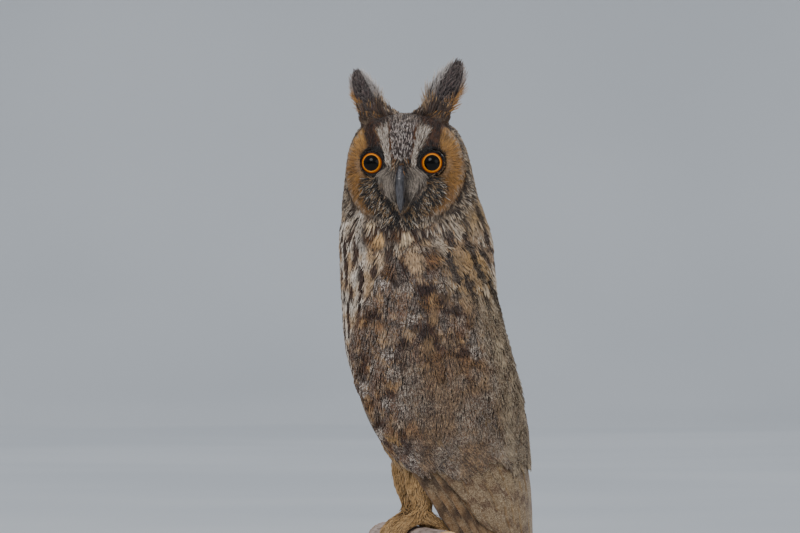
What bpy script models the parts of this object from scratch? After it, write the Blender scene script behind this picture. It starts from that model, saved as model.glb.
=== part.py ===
"""A long-eared owl at life size, upright and still on a cut length of branch that a plain stand carries.

The owl sits side-on with its head turned over its left shoulder, so that the face looks along -Y.
World frame: +Z up, the floor at Z = 0 and the middle of the stand's base at the origin.
Bird frame: F runs forward along the breast, L to the bird's left, and heights count from the perch's top.
Head frame: u runs to the bird's left across the face, v up from the level of the eyes, w out of the face.
"""

import math

import bmesh
import bpy
from mathutils import Vector

MM = 0.001
GAP = 0.3 * MM

# Stand and perch
BASE_RADIUS = 92 * MM
BASE_THICKNESS = 12 * MM
BASE_BEVEL = 2 * MM
PERCH_TOP = 134 * MM
PERCH_RADIUS = 13 * MM
PERCH_LENGTH = 150 * MM
PERCH_FORWARD = 9 * MM
ROD_RADIUS = 3 * MM
ROD_SPREAD = 52 * MM
SADDLE_HALF = 9 * MM

# How far the body and the head are turned from facing -Y, towards -X
BODY_YAW = math.radians(75)
HEAD_YAW = math.radians(7)
FULLNESS = 2.2

# Torso: height, furthest forward, furthest back and half breadth, in mm
TORSO_STATIONS = (
    (2, -27, -53, 14),
    (8, -16, -54, 18),
    (20, 3, -54, 25),
    (40, 24, -53.5, 31.5),
    (62, 35, -53, 37),
    (85, 45.5, -52, 40),
    (108, 52.5, -48.5, 41.5),
    (135, 55, -42.5, 41),
    (160, 56.5, -40, 39),
    (175, 57, -39, 37),
    (190, 56, -37, 34),
)
# Neck and head: height, half width, furthest forward and back of the head's axis, sideways shift, in mm
HEAD_STATIONS = (
    (170, 48.5, 31, -46, 3.4),
    (190, 45.2, 24, -41, 2.8),
    (205, 41.8, 21.5, -38, 1.2),
    (220, 39.3, 22, -37, 0.4),
    (232, 36.8, 21.5, -35, -0.2),
    (244, 31.5, 18, -29.5, -0.5),
    (249.5, 25.5, 12.5, -23.5, -0.5),
    (253.7, 16, 5, -15, -0.5),
    (255.5, 8, -1, -9, -0.5),
)
HEAD_TOP = 255.5 * MM
HEAD_AXIS = Vector((-14.4, -9, 0)) * MM
BLEND_FROM = 172 * MM
BLEND_TO = 202 * MM
TORSO_TOP = 166 * MM
NECK_TOP = 184 * MM

# Face: an outline round the two discs, and how the discs fall back from the ridge between them
EYE_LEVEL = 224 * MM
DISC_MIDDLE = -4 * MM
DISC_HALF_WIDTH = 37.5 * MM
DISC_HALF_HEIGHT = 35 * MM
RIDGE_DEPTH = 29.5 * MM
DISC_FALL = 18.5 * MM
BROW_FALL = 17 * MM
CHIN_FALL = 1 * MM
RIDGE_RISE = 3 * MM
RIDGE_WIDTH = 6 * MM
CHIN_START = -15 * MM
CHIN_DROP = 8 * MM
CHIN_DEPTH = 4 * MM
DISH_DEPTH = 2.2 * MM
EYE_SPREAD = 17.9 * MM
EYE_RADIUS = 9 * MM
EYE_OPENING = 6.6 * MM
EYE_YAW = math.radians(7)
LID_RADIUS = 1.15 * MM
MOUND_HEIGHT = 32.6 * MM
# Ear tufts, left and right: how far out the foot is, how far out the tip leans and the height, in mm
TUFTS = {1: (20.5, 13.5, 30.5), -1: (22.5, 10.5, 25)}

# Wings: the smooth surface that they wrap round, as for the torso, in mm
WRAP_STATIONS = (
    (-112, -44, -61, 20),
    (-80, -33, -61, 23.5),
    (-40, -9, -61, 28),
    (0, 12, -60.5, 32),
    (20, 21, -60, 34),
    (40, 30, -58, 36.5),
    (62, 37.5, -56, 39.5),
    (85, 47, -54, 42),
    (108, 53.5, -50.5, 43.5),
    (135, 56.5, -44.5, 43),
    (160, 58, -41.5, 41),
    (175, 58.5, -40.5, 39),
)
# Wings: height in mm, bearings of the leading and trailing edge in degrees, thickness in mm
WING_STATIONS = (
    (-112, 132, 152, 1.4),
    (-104, 114, 160, 2.2),
    (-90, 96, 167, 3),
    (-60, 78, 171, 4),
    (-20, 65, 172, 5),
    (15, 48, 172, 5.4),
    (40, 30, 172, 5.6),
    (62, 11, 170, 5.6),
    (85, 3, 167, 5.8),
    (105, 4, 160, 6),
    (120, 14, 155, 6),
    (140, 37, 149, 5.8),
    (160, 54, 141, 4.4),
    (172, 78, 122, 1.6),
)
WING_TRAIL = 172
WING_CLEAR = 0.8 * MM
NEAR_WRAP = 1.0
FAR_WRAP = 0.76


def smooth_through(stations, height):
    """The sizes at one height, in metres, on a smooth curve through the stations, which are in mm."""
    heights = [row[0] for row in stations]
    at = min(max(height / MM, heights[0]), heights[-1])
    low = max(i for i in range(len(heights) - 1) if heights[i] <= at)
    step = heights[low + 1] - heights[low]
    t = (at - heights[low]) / step

    def slope(i, column):
        before, after = max(i - 1, 0), min(i + 1, len(heights) - 1)
        rise = stations[after][column] - stations[before][column]
        return rise / (heights[after] - heights[before]) * step

    sizes = []
    for column in range(1, len(stations[0])):
        start, end = stations[low][column], stations[low + 1][column]
        value = (2 * t**3 - 3 * t**2 + 1) * start + (3 * t**2 - 2 * t**3) * end
        value += (t**3 - 2 * t**2 + t) * slope(low, column)
        value += (t**3 - t**2) * slope(low + 1, column)
        sizes.append(value)
    return sizes


def ease(t):
    t = min(max(t, 0), 1)
    return t * t * (3 - 2 * t)


def forward(yaw):
    return Vector((-math.sin(yaw), -math.cos(yaw), 0))


def leftward(yaw):
    return Vector((math.cos(yaw), -math.sin(yaw), 0))


def full_circle(angle):
    """A point of an outline a little fuller than a circle."""
    c, s = math.cos(angle), math.sin(angle)
    power = 2 / FULLNESS
    return math.copysign(abs(c) ** power, c), math.copysign(abs(s) ** power, s)


def bird(f, l, height):
    return forward(BODY_YAW) * f + leftward(BODY_YAW) * l + Vector((0, 0, PERCH_TOP + height))


def face(u, v, w):
    across = leftward(HEAD_YAW) * u + forward(HEAD_YAW) * w
    return HEAD_AXIS + across + Vector((0, 0, PERCH_TOP + EYE_LEVEL + v))


def wrap_point(stations, angle, height, out=0.0, side=1):
    """A point of the torso, or of what wraps round it. The angle turns from the breast to one side."""
    front, back, half = (size * MM for size in smooth_through(stations, height))
    along, across = full_circle(angle)
    f = (front + back) / 2 + ((front - back) / 2 + out) * along
    return bird(f, side * (half + out) * across, height)


def head_point(angle, height, out=0.0):
    half, front, back, shift = (size * MM for size in smooth_through(HEAD_STATIONS, height))
    along, across = full_circle(angle)
    w = (front + back) / 2 + ((front - back) / 2 + out) * along
    return face(shift + (half + out) * across, height - EYE_LEVEL, w)


def column_point(bearing, height, out=0.0):
    """A point of the torso, neck or head. The bearing is 0 towards the camera and grows towards -X."""
    blend = ease((height - BLEND_FROM) / (BLEND_TO - BLEND_FROM))
    low = wrap_point(TORSO_STATIONS, BODY_YAW - bearing, height, out)
    return low.lerp(head_point(HEAD_YAW - bearing, height, out), blend)


def turns(count):
    return [2 * math.pi * i / count for i in range(count)]


def between(start, end, count):
    return [start + (end - start) * i / (count - 1) for i in range(count)]


def finish_mesh(name, bm):
    """An object with this mesh, its faces pointing out, smooth but for its sharp edges."""
    bmesh.ops.recalc_face_normals(bm, faces=bm.faces)
    bmesh.ops.triangulate(bm, faces=[one for one in bm.faces if len(one.verts) == 4])
    mesh = bpy.data.meshes.new(name)
    bm.to_mesh(mesh)
    bm.free()
    mesh.shade_smooth()
    mesh.set_sharp_from_angle(angle=math.radians(40))
    made = bpy.data.objects.new(name, mesh)
    bpy.context.scene.collection.objects.link(made)
    return made


def loft(name, rings, peak=None):
    """A closed solid through rings of as many points each, with flat caps or a peak before the first."""
    bm = bmesh.new()
    rows = [[bm.verts.new(point) for point in ring] for ring in rings]
    count = len(rows[0])
    for row, following in zip(rows, rows[1:]):
        for i in range(count):
            j = (i + 1) % count
            bm.faces.new((row[i], row[j], following[j], following[i]))
    if peak is None:
        bm.faces.new(rows[0])
    else:
        top = bm.verts.new(peak)
        for i in range(count):
            bm.faces.new((top, rows[0][i], rows[0][(i + 1) % count]))
    bm.faces.new(rows[-1])
    return finish_mesh(name, bm)


def tube(name, path, radii, sides, side_axis=None):
    """A closed round solid along a path. Its rings start across side_axis where one is given."""
    rings = []
    for i, point in enumerate(path):
        before, after = path[max(i - 1, 0)], path[min(i + 1, len(path) - 1)]
        along = (after - before).normalized()
        across = (side_axis or Vector((0, 0, 1))).cross(along).normalized()
        third = along.cross(across)
        ring = [
            point + radii[i] * (math.cos(turn) * across + math.sin(turn) * third)
            for turn in turns(sides)
        ]
        rings.append(ring)
    return loft(name, rings)


def ball(name, centre, radius, segments, rings):
    bm = bmesh.new()
    bmesh.ops.create_uvsphere(bm, u_segments=segments, v_segments=rings, radius=radius)
    bmesh.ops.translate(bm, verts=bm.verts, vec=centre)
    return finish_mesh(name, bm)


def keep_largest(made):
    """Drops every loose scrap and sealed hollow, so that one closed surface is left."""
    bm = bmesh.new()
    bm.from_mesh(made.data)
    left, islands = set(bm.faces), []
    while left:
        island, waiting = set(), [left.pop()]
        while waiting:
            patch = waiting.pop()
            island.add(patch)
            near = set()
            for side in patch.edges:
                if len(side.link_faces) == 2:
                    near.update(side.link_faces)
            near &= left
            left -= near
            waiting.extend(near)
        islands.append(island)
    islands.sort(key=lambda island: sum(one.calc_area() for one in island))
    for island in islands[:-1]:
        bmesh.ops.delete(bm, geom=list(island), context="FACES")
    bmesh.ops.delete(bm, geom=[v for v in bm.verts if not v.link_faces], context="VERTS")
    bm.to_mesh(made.data)
    bm.free()


def combine(made, others, operation):
    """Joins the others to an object, or cuts them from it, and removes them."""
    group = bpy.data.collections.new(made.name + "_tools")
    bpy.context.scene.collection.children.link(group)
    for other in others:
        bpy.context.scene.collection.objects.unlink(other)
        group.objects.link(other)
    boolean = made.modifiers.new(operation, "BOOLEAN")
    boolean.operation = operation
    boolean.operand_type = "COLLECTION"
    boolean.collection = group
    boolean.solver = "MANIFOLD"
    bpy.context.view_layer.update()
    evaluated = made.evaluated_get(bpy.context.evaluated_depsgraph_get())
    mesh = bpy.data.meshes.new_from_object(evaluated)
    made.modifiers.remove(boolean)
    made.data = mesh
    for other in others:
        bpy.data.objects.remove(other)
    bpy.data.collections.remove(group)
    keep_largest(made)
    mesh.shade_smooth()
    mesh.set_sharp_from_angle(angle=math.radians(40))
    return made


def paint(made, colour, roughness, metallic=0.0):
    """Gives an object a plain finish of its own."""
    material = bpy.data.materials.new(made.name)
    material.use_nodes = True
    shader = material.node_tree.nodes["Principled BSDF"]
    shader.inputs["Base Color"].default_value = (*colour, 1)
    shader.inputs["Roughness"].default_value = roughness
    shader.inputs["Metallic"].default_value = metallic
    made.data.materials.clear()
    made.data.materials.append(material)
    return made


# Torso, neck and head

COLUMN_SIDES = 32


def column(name, low, high, rows, out=0.0):
    rings = [
        [column_point(bearing, height, out) for bearing in turns(COLUMN_SIDES)]
        for height in between(low, high, rows)
    ]
    return loft(name, rings)


def face_depth(u, v):
    """How far the face stands out of the head's axis: two dishes that meet in a ridge over the bill."""
    across = abs(u) / DISC_HALF_WIDTH
    depth = RIDGE_DEPTH - DISC_FALL * across**1.8
    fall, reach = (BROW_FALL, 31 * MM) if v > 0 else (CHIN_FALL, 39 * MM)
    depth -= fall * (abs(v) / reach) ** 2.3
    chin = ease((CHIN_START - v) / CHIN_DROP)
    depth += (RIDGE_RISE - (RIDGE_RISE + CHIN_DEPTH) * chin) * math.exp(-((u / RIDGE_WIDTH) ** 2))
    from_eye = math.hypot(abs(u) - EYE_SPREAD, v) / DISC_HALF_WIDTH
    depth -= DISH_DEPTH * math.exp(-((from_eye - 0.42) ** 2) / 0.03)
    return depth


def disc_edge(turn, share=1.0):
    c, s = full_circle(turn)
    return DISC_HALF_WIDTH * share * c, DISC_MIDDLE + DISC_HALF_HEIGHT * share * s


def face_plate(name, out=0.0):
    """The facial discs with their raised rim, closed behind by a cone inside the head."""
    shares = (0.1, 0.25, 0.4, 0.55, 0.7, 0.84, 0.95, 1.0)
    rings = []
    for share in shares:
        ring = []
        for turn in turns(COLUMN_SIDES):
            u, v = disc_edge(turn, share)
            rise = 0.9 * MM if share == 0.95 else 0.0
            ring.append(face(u, v, face_depth(u, v) + rise + out))
        rings.append(ring)
    for share, back in ((0.97, 3.5 * MM), (0.6, 18 * MM)):
        ring = []
        for turn in turns(COLUMN_SIDES):
            u, v = disc_edge(turn, share)
            edge_u, edge_v = disc_edge(turn)
            ring.append(face(u, v, face_depth(edge_u, edge_v) - back + out))
        rings.append(ring)
    return loft(name, rings, face(0, DISC_MIDDLE, face_depth(0, DISC_MIDDLE) + out))


def eye_frame(side):
    """The middle of an eye and the way that it looks."""
    seat = face_depth(EYE_SPREAD, 0) - math.sqrt(EYE_RADIUS**2 - EYE_OPENING**2) + 0.4 * MM
    centre = face(side * EYE_SPREAD, 0, seat)
    return centre, forward(HEAD_YAW - side * EYE_YAW)


def lid(name, side):
    """The ring of bare lid round an eye."""
    centre, look = eye_frame(side)
    reach = math.sqrt(EYE_RADIUS**2 - EYE_OPENING**2)
    middle = centre + look * reach
    across = Vector((0, 0, 1)).cross(look)
    path = [
        middle + (EYE_OPENING + 0.5 * MM) * (math.cos(t) * across + math.sin(t) * Vector((0, 0, 1)))
        for t in turns(16)
    ]
    bm = bmesh.new()
    rows = []
    for point in path:
        out = (point - middle).normalized()
        rows.append(
            [
                bm.verts.new(point + LID_RADIUS * (math.cos(t) * out + math.sin(t) * look))
                for t in turns(6)
            ]
        )
    for i, row in enumerate(rows):
        following = rows[(i + 1) % len(rows)]
        for j in range(6):
            k = (j + 1) % 6
            bm.faces.new((row[j], row[k], following[k], following[j]))
    return finish_mesh(name, bm)


# Mound under an ear tuft: height, inset from the tuft's foot, half width and half depth, in mm
MOUND_STATIONS = ((19, 5, 9.5, 9), (27, 2.2, 9.5, 8), (MOUND_HEIGHT / MM, 0, 8, 5.5))


def tuft_mound(name, side):
    """The low feathered step on the crown that an ear tuft stands on."""
    rings = []
    foot = TUFTS[side][0]
    for height, inset, half_u, half_w in MOUND_STATIONS:
        ring = []
        for turn in turns(12):
            u = side * (foot - inset) * MM + half_u * MM * math.cos(turn)
            ring.append(face(u, height * MM, 3 * MM + half_w * MM * math.sin(turn)))
        rings.append(ring)
    return loft(name, rings)


def make_head():
    head = column("head", NECK_TOP, HEAD_TOP, 15)
    parts = [face_plate("plate")]
    for side in (1, -1):
        parts.append(lid("lid", side))
        parts.append(tuft_mound("mound", side))
    combine(head, parts, "UNION")
    sockets = [ball("socket", eye_frame(s)[0], EYE_RADIUS + GAP, 16, 10) for s in (1, -1)]
    combine(head, sockets, "DIFFERENCE")
    return paint(head, (0.36, 0.24, 0.13), 0.9)


# Eyes and bill

EYE_NAMES = {1: "left", -1: "right"}


def make_eye(side):
    centre, _ = eye_frame(side)
    eye = ball(f"eye_{EYE_NAMES[side]}", centre, EYE_RADIUS, 16, 10)
    return paint(eye, (0.75, 0.3, 0.03), 0.15)


# Upper bill down its curve: v, w, half width and half depth, in mm
CULMEN = (
    (-3, 28.5, 2.8, 3),
    (-6, 31.2, 3.3, 4.2),
    (-11, 33.2, 3.4, 4.9),
    (-17, 34, 3, 4.7),
    (-24, 33.6, 2.2, 3.4),
    (-28.5, 32.4, 1.2, 1.8),
    (-31, 31.3, 0.35, 0.5),
)
# Lower bill, the same way
LOWER_BILL = (
    (-19, 24, 2.6, 2),
    (-22.5, 26.6, 2.4, 1.9),
    (-25.7, 28.3, 1.8, 1.4),
    (-28, 29.4, 0.7, 0.6),
)


def bill_half(name, stations):
    rings = []
    for i, (v, w, half_u, half_w) in enumerate(stations):
        before, after = stations[max(i - 1, 0)], stations[min(i + 1, len(stations) - 1)]
        slope = Vector((after[0] - before[0], after[1] - before[1])).normalized()
        ring = []
        for turn in turns(10):
            rise = half_w * math.sin(turn)
            spot = (v - rise * slope.y, w + rise * slope.x)
            ring.append(face(half_u * math.cos(turn) * MM, spot[0] * MM, spot[1] * MM))
        rings.append(ring)
    return loft(name, rings)


def make_bill():
    upper = bill_half("bill_upper", CULMEN)
    lower = bill_half("bill_lower", LOWER_BILL)
    nostrils = [ball("nostril", face(s * 2.6 * MM, -8.5 * MM, 36 * MM), 0.8 * MM, 8, 6) for s in (1, -1)]
    combine(upper, nostrils + [face_plate("clear", 2 * GAP)], "DIFFERENCE")
    combine(lower, [face_plate("clear", 2 * GAP)], "DIFFERENCE")
    paint(upper, (0.03, 0.032, 0.036), 0.35)
    paint(lower, (0.03, 0.032, 0.036), 0.35)


# Ear tufts, wings and tail

# Core of an ear tuft: share of its height, half width and half depth, in mm
TUFT_CORE = ((0, 7.6, 4.8), (0.2, 7.4, 4), (0.42, 5, 2.4), (0.62, 1.2, 0.8))
# Along a vane of a tuft: how far along, part of its half width and part of its half thickness
TUFT_VANE_SHAPE = ((0, 0.8, 1), (0.35, 1, 1), (0.7, 0.8, 0.8), (1, 0.07, 0.25))
# Vanes of an ear tuft: start across and in depth, lean from the tuft's own line, length and width, in mm
TUFT_VANES = (
    (-5.4, 0.6, -3.6, 0.64, 3.6),
    (-3, 2.6, -2.2, 0.86, 4.2),
    (0, 3.2, -0.4, 1.0, 4.4),
    (3.2, 2.4, 1, 0.94, 4.2),
    (5.6, 0.2, 1.6, 0.7, 3.6),
    (2.6, -2.6, 1, 0.88, 4.4),
    (-1.8, -2.8, -1.2, 0.8, 4.6),
)


def make_ear_tuft(side):
    """An ear tuft: a short core with tapered vanes fanned round it."""
    foot, lean, tall = TUFTS[side]
    base = MOUND_HEIGHT + GAP

    def on_tuft(share, across, deep):
        u = side * (foot + lean * share + across) * MM
        return face(u, base + tall * MM * share, (3 - 3 * share + deep) * MM)

    rings = []
    for share, half_u, half_w in TUFT_CORE:
        rings.append(
            [on_tuft(share, half_u * math.cos(turn), half_w * math.sin(turn)) for turn in turns(12)]
        )
    tuft = loft(f"ear_tuft_{EYE_NAMES[side]}", rings)
    vanes = []
    for start, deep, drift, length, width in TUFT_VANES:
        rings = []
        for share, wide, thick in TUFT_VANE_SHAPE:
            at = share * length
            middle = start * (1 - 0.35 * share) + drift * share
            depth = deep * (1 - 0.6 * share)
            half, high = width * wide, 1.1 * thick
            corners = ((-half, 0.25), (0, high), (half, -0.25), (0, -high))
            rings.append([on_tuft(max(at, 0.002), middle + a, depth + d) for a, d in corners])
        vanes.append(loft("vane", rings))
    combine(tuft, vanes, "UNION")
    return paint(tuft, (0.06, 0.045, 0.035), 0.9)


# Wings: the part of the stated thickness that the core under the vanes has
CORE_SHARE = 0.25
CORE_FOOT = -20 * MM
# Along a vane: how far along, part of its half width
VANE_SHAPE = ((0, 0.66), (0.45, 0.94), (0.82, 0.92), (0.95, 0.56), (1, 0.14))
VANE_RIDGE = 0.25 * MM
VANE_TILT = 1.05 * MM


def wing_edges(height, side):
    """Bearings of a wing's leading and trailing edge at a height, and the wing's thickness there."""
    lead, trail, thick = smooth_through(WING_STATIONS, height)
    return wing_bearing(lead, side), wing_bearing(trail, side), thick * MM


def wing_bearing(degrees, side):
    """A bearing on the wing of one side. The far wing doesn't reach as far forward."""
    wrap = NEAR_WRAP if side > 0 else FAR_WRAP
    return math.radians(WING_TRAIL - (WING_TRAIL - degrees) * wrap)


def on_wing(side, share, height, out, slip=0.0):
    """A point over a wing: a share of the way from its leading edge, then a slip in metres along the arc."""
    lead, trail, _ = wing_edges(height, side)
    angle = lead + (trail - lead) * share
    if slip:
        step = 0.02
        ahead = wrap_point(WRAP_STATIONS, angle + step, height, WING_CLEAR, side)
        here = wrap_point(WRAP_STATIONS, angle, height, WING_CLEAR, side)
        angle += slip * step / (ahead - here).length
    return wrap_point(WRAP_STATIONS, angle, height, WING_CLEAR + out, side)


def wing_core(side):
    rings = []
    for height in between(CORE_FOOT, 172 * MM, 14):
        _, _, thick = wing_edges(height, side)
        outer, inner = [], []
        for share in between(0, 1, 8):
            bulge = math.sin(math.pi * (0.12 + 0.76 * share)) ** 0.6
            depth = CORE_SHARE * thick * bulge * (1 if height > 120 * MM else 0.8)
            outer.append(on_wing(side, share, height, depth))
            inner.append(on_wing(side, share, height, 0))
        rings.append(outer + inner[::-1])
    return loft(f"wing_{EYE_NAMES[side]}", rings)


def wing_vane(side, root, tip, half_width, lift, floor):
    """A feather from root to tip: each a share across the wing and a height in mm.

    Lift is how far its face stands out at each end and floor how deep its underside lies, in mm.
    """
    rings = []
    for along, wide in VANE_SHAPE:
        share = root[0] + (tip[0] - root[0]) * along
        height = (root[1] + (tip[1] - root[1]) * along) * MM
        half = half_width * wide * MM
        out = (lift[0] + (lift[1] - lift[0]) * ease(along * 1.6)) * MM
        tilt = VANE_TILT * min(1, 0.3 + along * 1.5)
        if along == 0:
            out = (floor + 0.6) * MM
            tilt = 0.1 * MM
        rings.append(
            [
                on_wing(side, share, height, out + tilt, -half),
                on_wing(side, share, height, out + VANE_RIDGE),
                on_wing(side, share, height, out - tilt, half),
                on_wing(side, share, height, floor * MM, 0.97 * half),
                on_wing(side, share, height, floor * MM, -0.97 * half),
            ]
        )
    return loft("vane", rings)


# Tips of the primaries, from the leading edge: share across the wing and height in mm
PRIMARY_TIPS = (
    (0.2, -90),
    (0.36, -106),
    (0.52, -112),
    (0.63, -103),
    (0.71, -90),
    (0.78, -75),
    (0.84, -59),
)


def make_wing(side):
    """A folded wing: a thin core, and over it the primaries, the secondaries and the greater coverts."""
    wing = wing_core(side)
    vanes = []
    for i, tip in enumerate(PRIMARY_TIPS):
        floor = 0.15 + 0.13 * (i % 3)
        vanes.append(wing_vane(side, (0.08 + 0.09 * i, 40), tip, 8.5, (2.1, 2.1 + 0.1 * i), floor))
    for i in range(6):
        root, tip = (0.2 + 0.13 * i, 84), (0.37 + 0.1 * i, -4 - 6 * i)
        vanes.append(wing_vane(side, root, tip, 10, (3.3, 3.6), 0.5 + 0.13 * (i % 3)))
    for i in range(6):
        root, tip = (0.13 + 0.145 * i, 122), (0.13 + 0.145 * i, 46 - i)
        vanes.append(wing_vane(side, root, tip, 10.5, (4, 5), 0.7 + 0.13 * (i % 3)))
    combine(wing, vanes, "UNION")
    return paint(wing, (0.16, 0.11, 0.07), 0.9)


# Tail feathers from the outermost in: offset of the tip from the middle and its height, in mm
TAIL_TIPS = ((14, -95), (11.5, -98), (9, -100), (6.6, -101), (4.2, -101), (1.8, -101))


def tail_vane(side, layer, tip):
    """A tail feather. Layer 0 is the outermost pair, which lies furthest forward."""
    rings = []
    for along, wide in VANE_SHAPE:
        height = (-4 + (tip[1] + 4) * along) * MM
        across = side * tip[0] * (0.45 + 0.55 * along)
        half = side * 8 * wide
        f = -44.5 - 4 * ease(along * 1.6) - 1.05 * layer - 0.15 * (side + 1)
        rings.append(
            [
                bird((f + 0.55) * MM, (across - half) * MM, height),
                bird((f + 0.4) * MM, across * MM, height),
                bird((f - 0.55) * MM, (across + half) * MM, height),
                bird((f - 0.4) * MM, across * MM, height),
            ]
        )
    return loft("vane", rings)


def make_tail():
    rings = []
    for height in between(-44 * MM, 1.7 * MM, 8):
        shrink = 1 - 0.85 * ease(-height / (44 * MM))
        ring = []
        for turn in turns(14):
            f = (-45.5 - 3 * ease(-height / (30 * MM))) * MM + 7.5 * MM * shrink * math.cos(turn)
            ring.append(bird(f, 13 * MM * (0.4 + 0.6 * shrink) * math.sin(turn), height))
        rings.append(ring)
    tail = loft("tail", rings)
    vanes = []
    for layer, tip in enumerate(TAIL_TIPS):
        vanes += [tail_vane(side, layer, tip) for side in (1, -1)]
    combine(tail, vanes, "UNION")
    return paint(tail, (0.2, 0.14, 0.09), 0.9)


# Legs, feet and claws

FOOT_SPREAD = 14.5 * MM
ANKLE = 9 * MM
TOE_RADIUS = 3.9 * MM
# Toes: name, where the toe starts beside the ankle, its splay and its reach round the perch in degrees
TOES = (
    ("inner", -4.5, -2.5, 72),
    ("middle", 1.5, 0.5, 80),
    ("outer", 5, 2.4, -64),
    ("hind", -3, -3, -66),
)


def perch_point(along, angle, radius):
    """A point at this angle over the top of the perch, forward where positive."""
    f = PERCH_FORWARD + radius * math.sin(angle)
    return bird(f, along, radius * math.cos(angle) - PERCH_RADIUS)


def toe_path(side, start, splay, degrees, shares, radius):
    path = []
    for share in shares:
        along = side * (FOOT_SPREAD + (start + splay * share) * MM)
        path.append(perch_point(along, math.radians(degrees) * share, radius))
    return path


def make_foot(side):
    name = EYE_NAMES[side]
    ankle = [bird(PERCH_FORWARD, side * FOOT_SPREAD, h * MM) for h in (1.2, 5, ANKLE / MM)]
    foot = tube(f"foot_{name}", ankle, (5.2 * MM, 6 * MM, 6 * MM), 10, side_axis=leftward(BODY_YAW))
    toes = []
    for toe, start, splay, degrees in TOES:
        shares = (0, 0.25, 0.5, 0.75, 1.0)
        radius = PERCH_RADIUS + GAP + TOE_RADIUS * 1.08
        path = toe_path(side, start, splay, degrees, shares, radius)
        radii = [TOE_RADIUS * size for size in (0.9, 1, 0.96, 1, 0.8)]
        toes.append(tube("toe", path, radii, 8, side_axis=leftward(BODY_YAW)))
        claw_on(side, toe, start, splay, degrees)
    combine(foot, toes, "UNION")
    return paint(foot, (0.42, 0.3, 0.18), 0.9)


def claw_on(side, toe, start, splay, degrees):
    """The black claw that carries on from a toe and closes on the perch."""
    first = math.copysign(math.degrees(1.3 * GAP / PERCH_RADIUS), degrees)
    path, radii = [], []
    for share in (0, 0.1, 0.28, 0.52, 0.76, 1):
        angle = math.radians(degrees + first + math.copysign(46, degrees) * share)
        rest = 1 - max(share - 0.1, 0) / 0.9
        girth = 2.1 * MM * rest**0.8 + 0.3 * MM
        reach = PERCH_RADIUS + GAP + girth + 1.6 * MM * rest**2 + 0.15 * MM
        along = side * (FOOT_SPREAD + (start + splay * (1 + 0.3 * share)) * MM)
        path.append(perch_point(along, angle, reach))
        radii.append(girth)
    claw = tube(f"claw_{EYE_NAMES[side]}_{toe}", path, radii, 8, side_axis=leftward(BODY_YAW))
    return paint(claw, (0.015, 0.014, 0.013), 0.3)


# Leg up from the ankle: height, F and radius, in mm
LEG_STATIONS = ((9.3, 9, 5.8), (15, 9, 8), (24, 9, 11), (36, 8, 13), (50, 5, 14), (62, -1, 13))


def make_leg(side):
    path = [bird(f * MM, side * FOOT_SPREAD, h * MM) for h, f, _ in LEG_STATIONS]
    rings = []
    for point, (_, _, radius) in zip(path, LEG_STATIONS):
        rings.append([point + radius * MM * forward(turn) for turn in turns(16)])
    leg = loft(f"leg_{EYE_NAMES[side]}", rings)
    inside = [
        [wrap_point(WRAP_STATIONS, turn, height, 0) for turn in turns(COLUMN_SIDES)]
        for height in between(0, 66 * MM, 12)
    ]
    combine(leg, [loft("inside", inside)], "INTERSECT")
    combine(leg, [column("clear", 2 * MM, TORSO_TOP, 28, 1.6 * GAP)], "DIFFERENCE")
    return paint(leg, (0.45, 0.33, 0.2), 0.9)


# Perch and stand


def make_perch():
    rings = []
    for share in between(-0.5, 0.5, 11):
        swell = 1 - 0.07 * abs(share) + 0.02 * math.sin(19 * share)
        radius = PERCH_RADIUS * min(1, swell)
        ring = [perch_point(PERCH_LENGTH * share, turn, radius) for turn in turns(22)]
        rings.append(ring)
    return paint(loft("perch", rings), (0.25, 0.2, 0.16), 0.9)


def rod_foot(side):
    return bird(PERCH_FORWARD, side * ROD_SPREAD, -PERCH_TOP)


def make_rod(side):
    """A rod from the base up to the perch, hollowed at the top to the perch's round underside."""
    low, high = BASE_THICKNESS + GAP, PERCH_TOP - 1.4 * PERCH_RADIUS
    path = [rod_foot(side) + Vector((0, 0, height)) for height in (low, high)]
    name = f"stand_rod_{EYE_NAMES[side]}"
    rod = tube(name, path, (ROD_RADIUS, ROD_RADIUS), 16, side_axis=leftward(BODY_YAW))
    reaches = (-SADDLE_HALF, SADDLE_HALF)
    ends = [bird(PERCH_FORWARD, side * (ROD_SPREAD + reach), -PERCH_RADIUS) for reach in reaches]
    saddle = tube("saddle", ends, [PERCH_RADIUS + GAP] * 2, 40)
    combine(rod, [saddle], "DIFFERENCE")
    return paint(rod, (0.5, 0.5, 0.5), 0.35, 0.9)


def make_base():
    rings = []
    for radius, height in (
        (BASE_RADIUS - BASE_BEVEL, 0),
        (BASE_RADIUS, BASE_BEVEL),
        (BASE_RADIUS, BASE_THICKNESS - BASE_BEVEL),
        (BASE_RADIUS - BASE_BEVEL, BASE_THICKNESS),
    ):
        rings.append([radius * forward(turn) + Vector((0, 0, height)) for turn in turns(44)])
    return paint(loft("stand_base", rings), (0.12, 0.08, 0.05), 0.5)


def main():
    for old in list(bpy.data.objects):
        bpy.data.objects.remove(old)
    paint(column("torso", 2 * MM, TORSO_TOP, 20), (0.4, 0.3, 0.2), 0.9)
    paint(column("neck", TORSO_TOP + GAP, NECK_TOP - GAP, 5), (0.4, 0.3, 0.2), 0.9)
    make_head()
    make_bill()
    for side in (1, -1):
        make_eye(side)
        make_ear_tuft(side)
        make_wing(side)
        make_leg(side)
        make_foot(side)
        make_rod(side)
    make_tail()
    make_perch()
    make_base()


main()
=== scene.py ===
"""Looks of a life-size long-eared owl on a cut length of branch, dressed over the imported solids.

World frame: +Z up, the floor at Z = 0. Bird frame: F forward along the breast, L to the bird's left,
H above the perch. Face frame: U to the bird's left across the face, V up from the level of the eyes, W out
of the face. The sizes of the body, head and wings repeat those of the solids, in mm, so that each feather
lies where they do.
"""

import math
from contextlib import contextmanager

import bpy
import numpy as np
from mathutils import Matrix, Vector, kdtree
from mathutils.bvhtree import BVHTree


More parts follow.
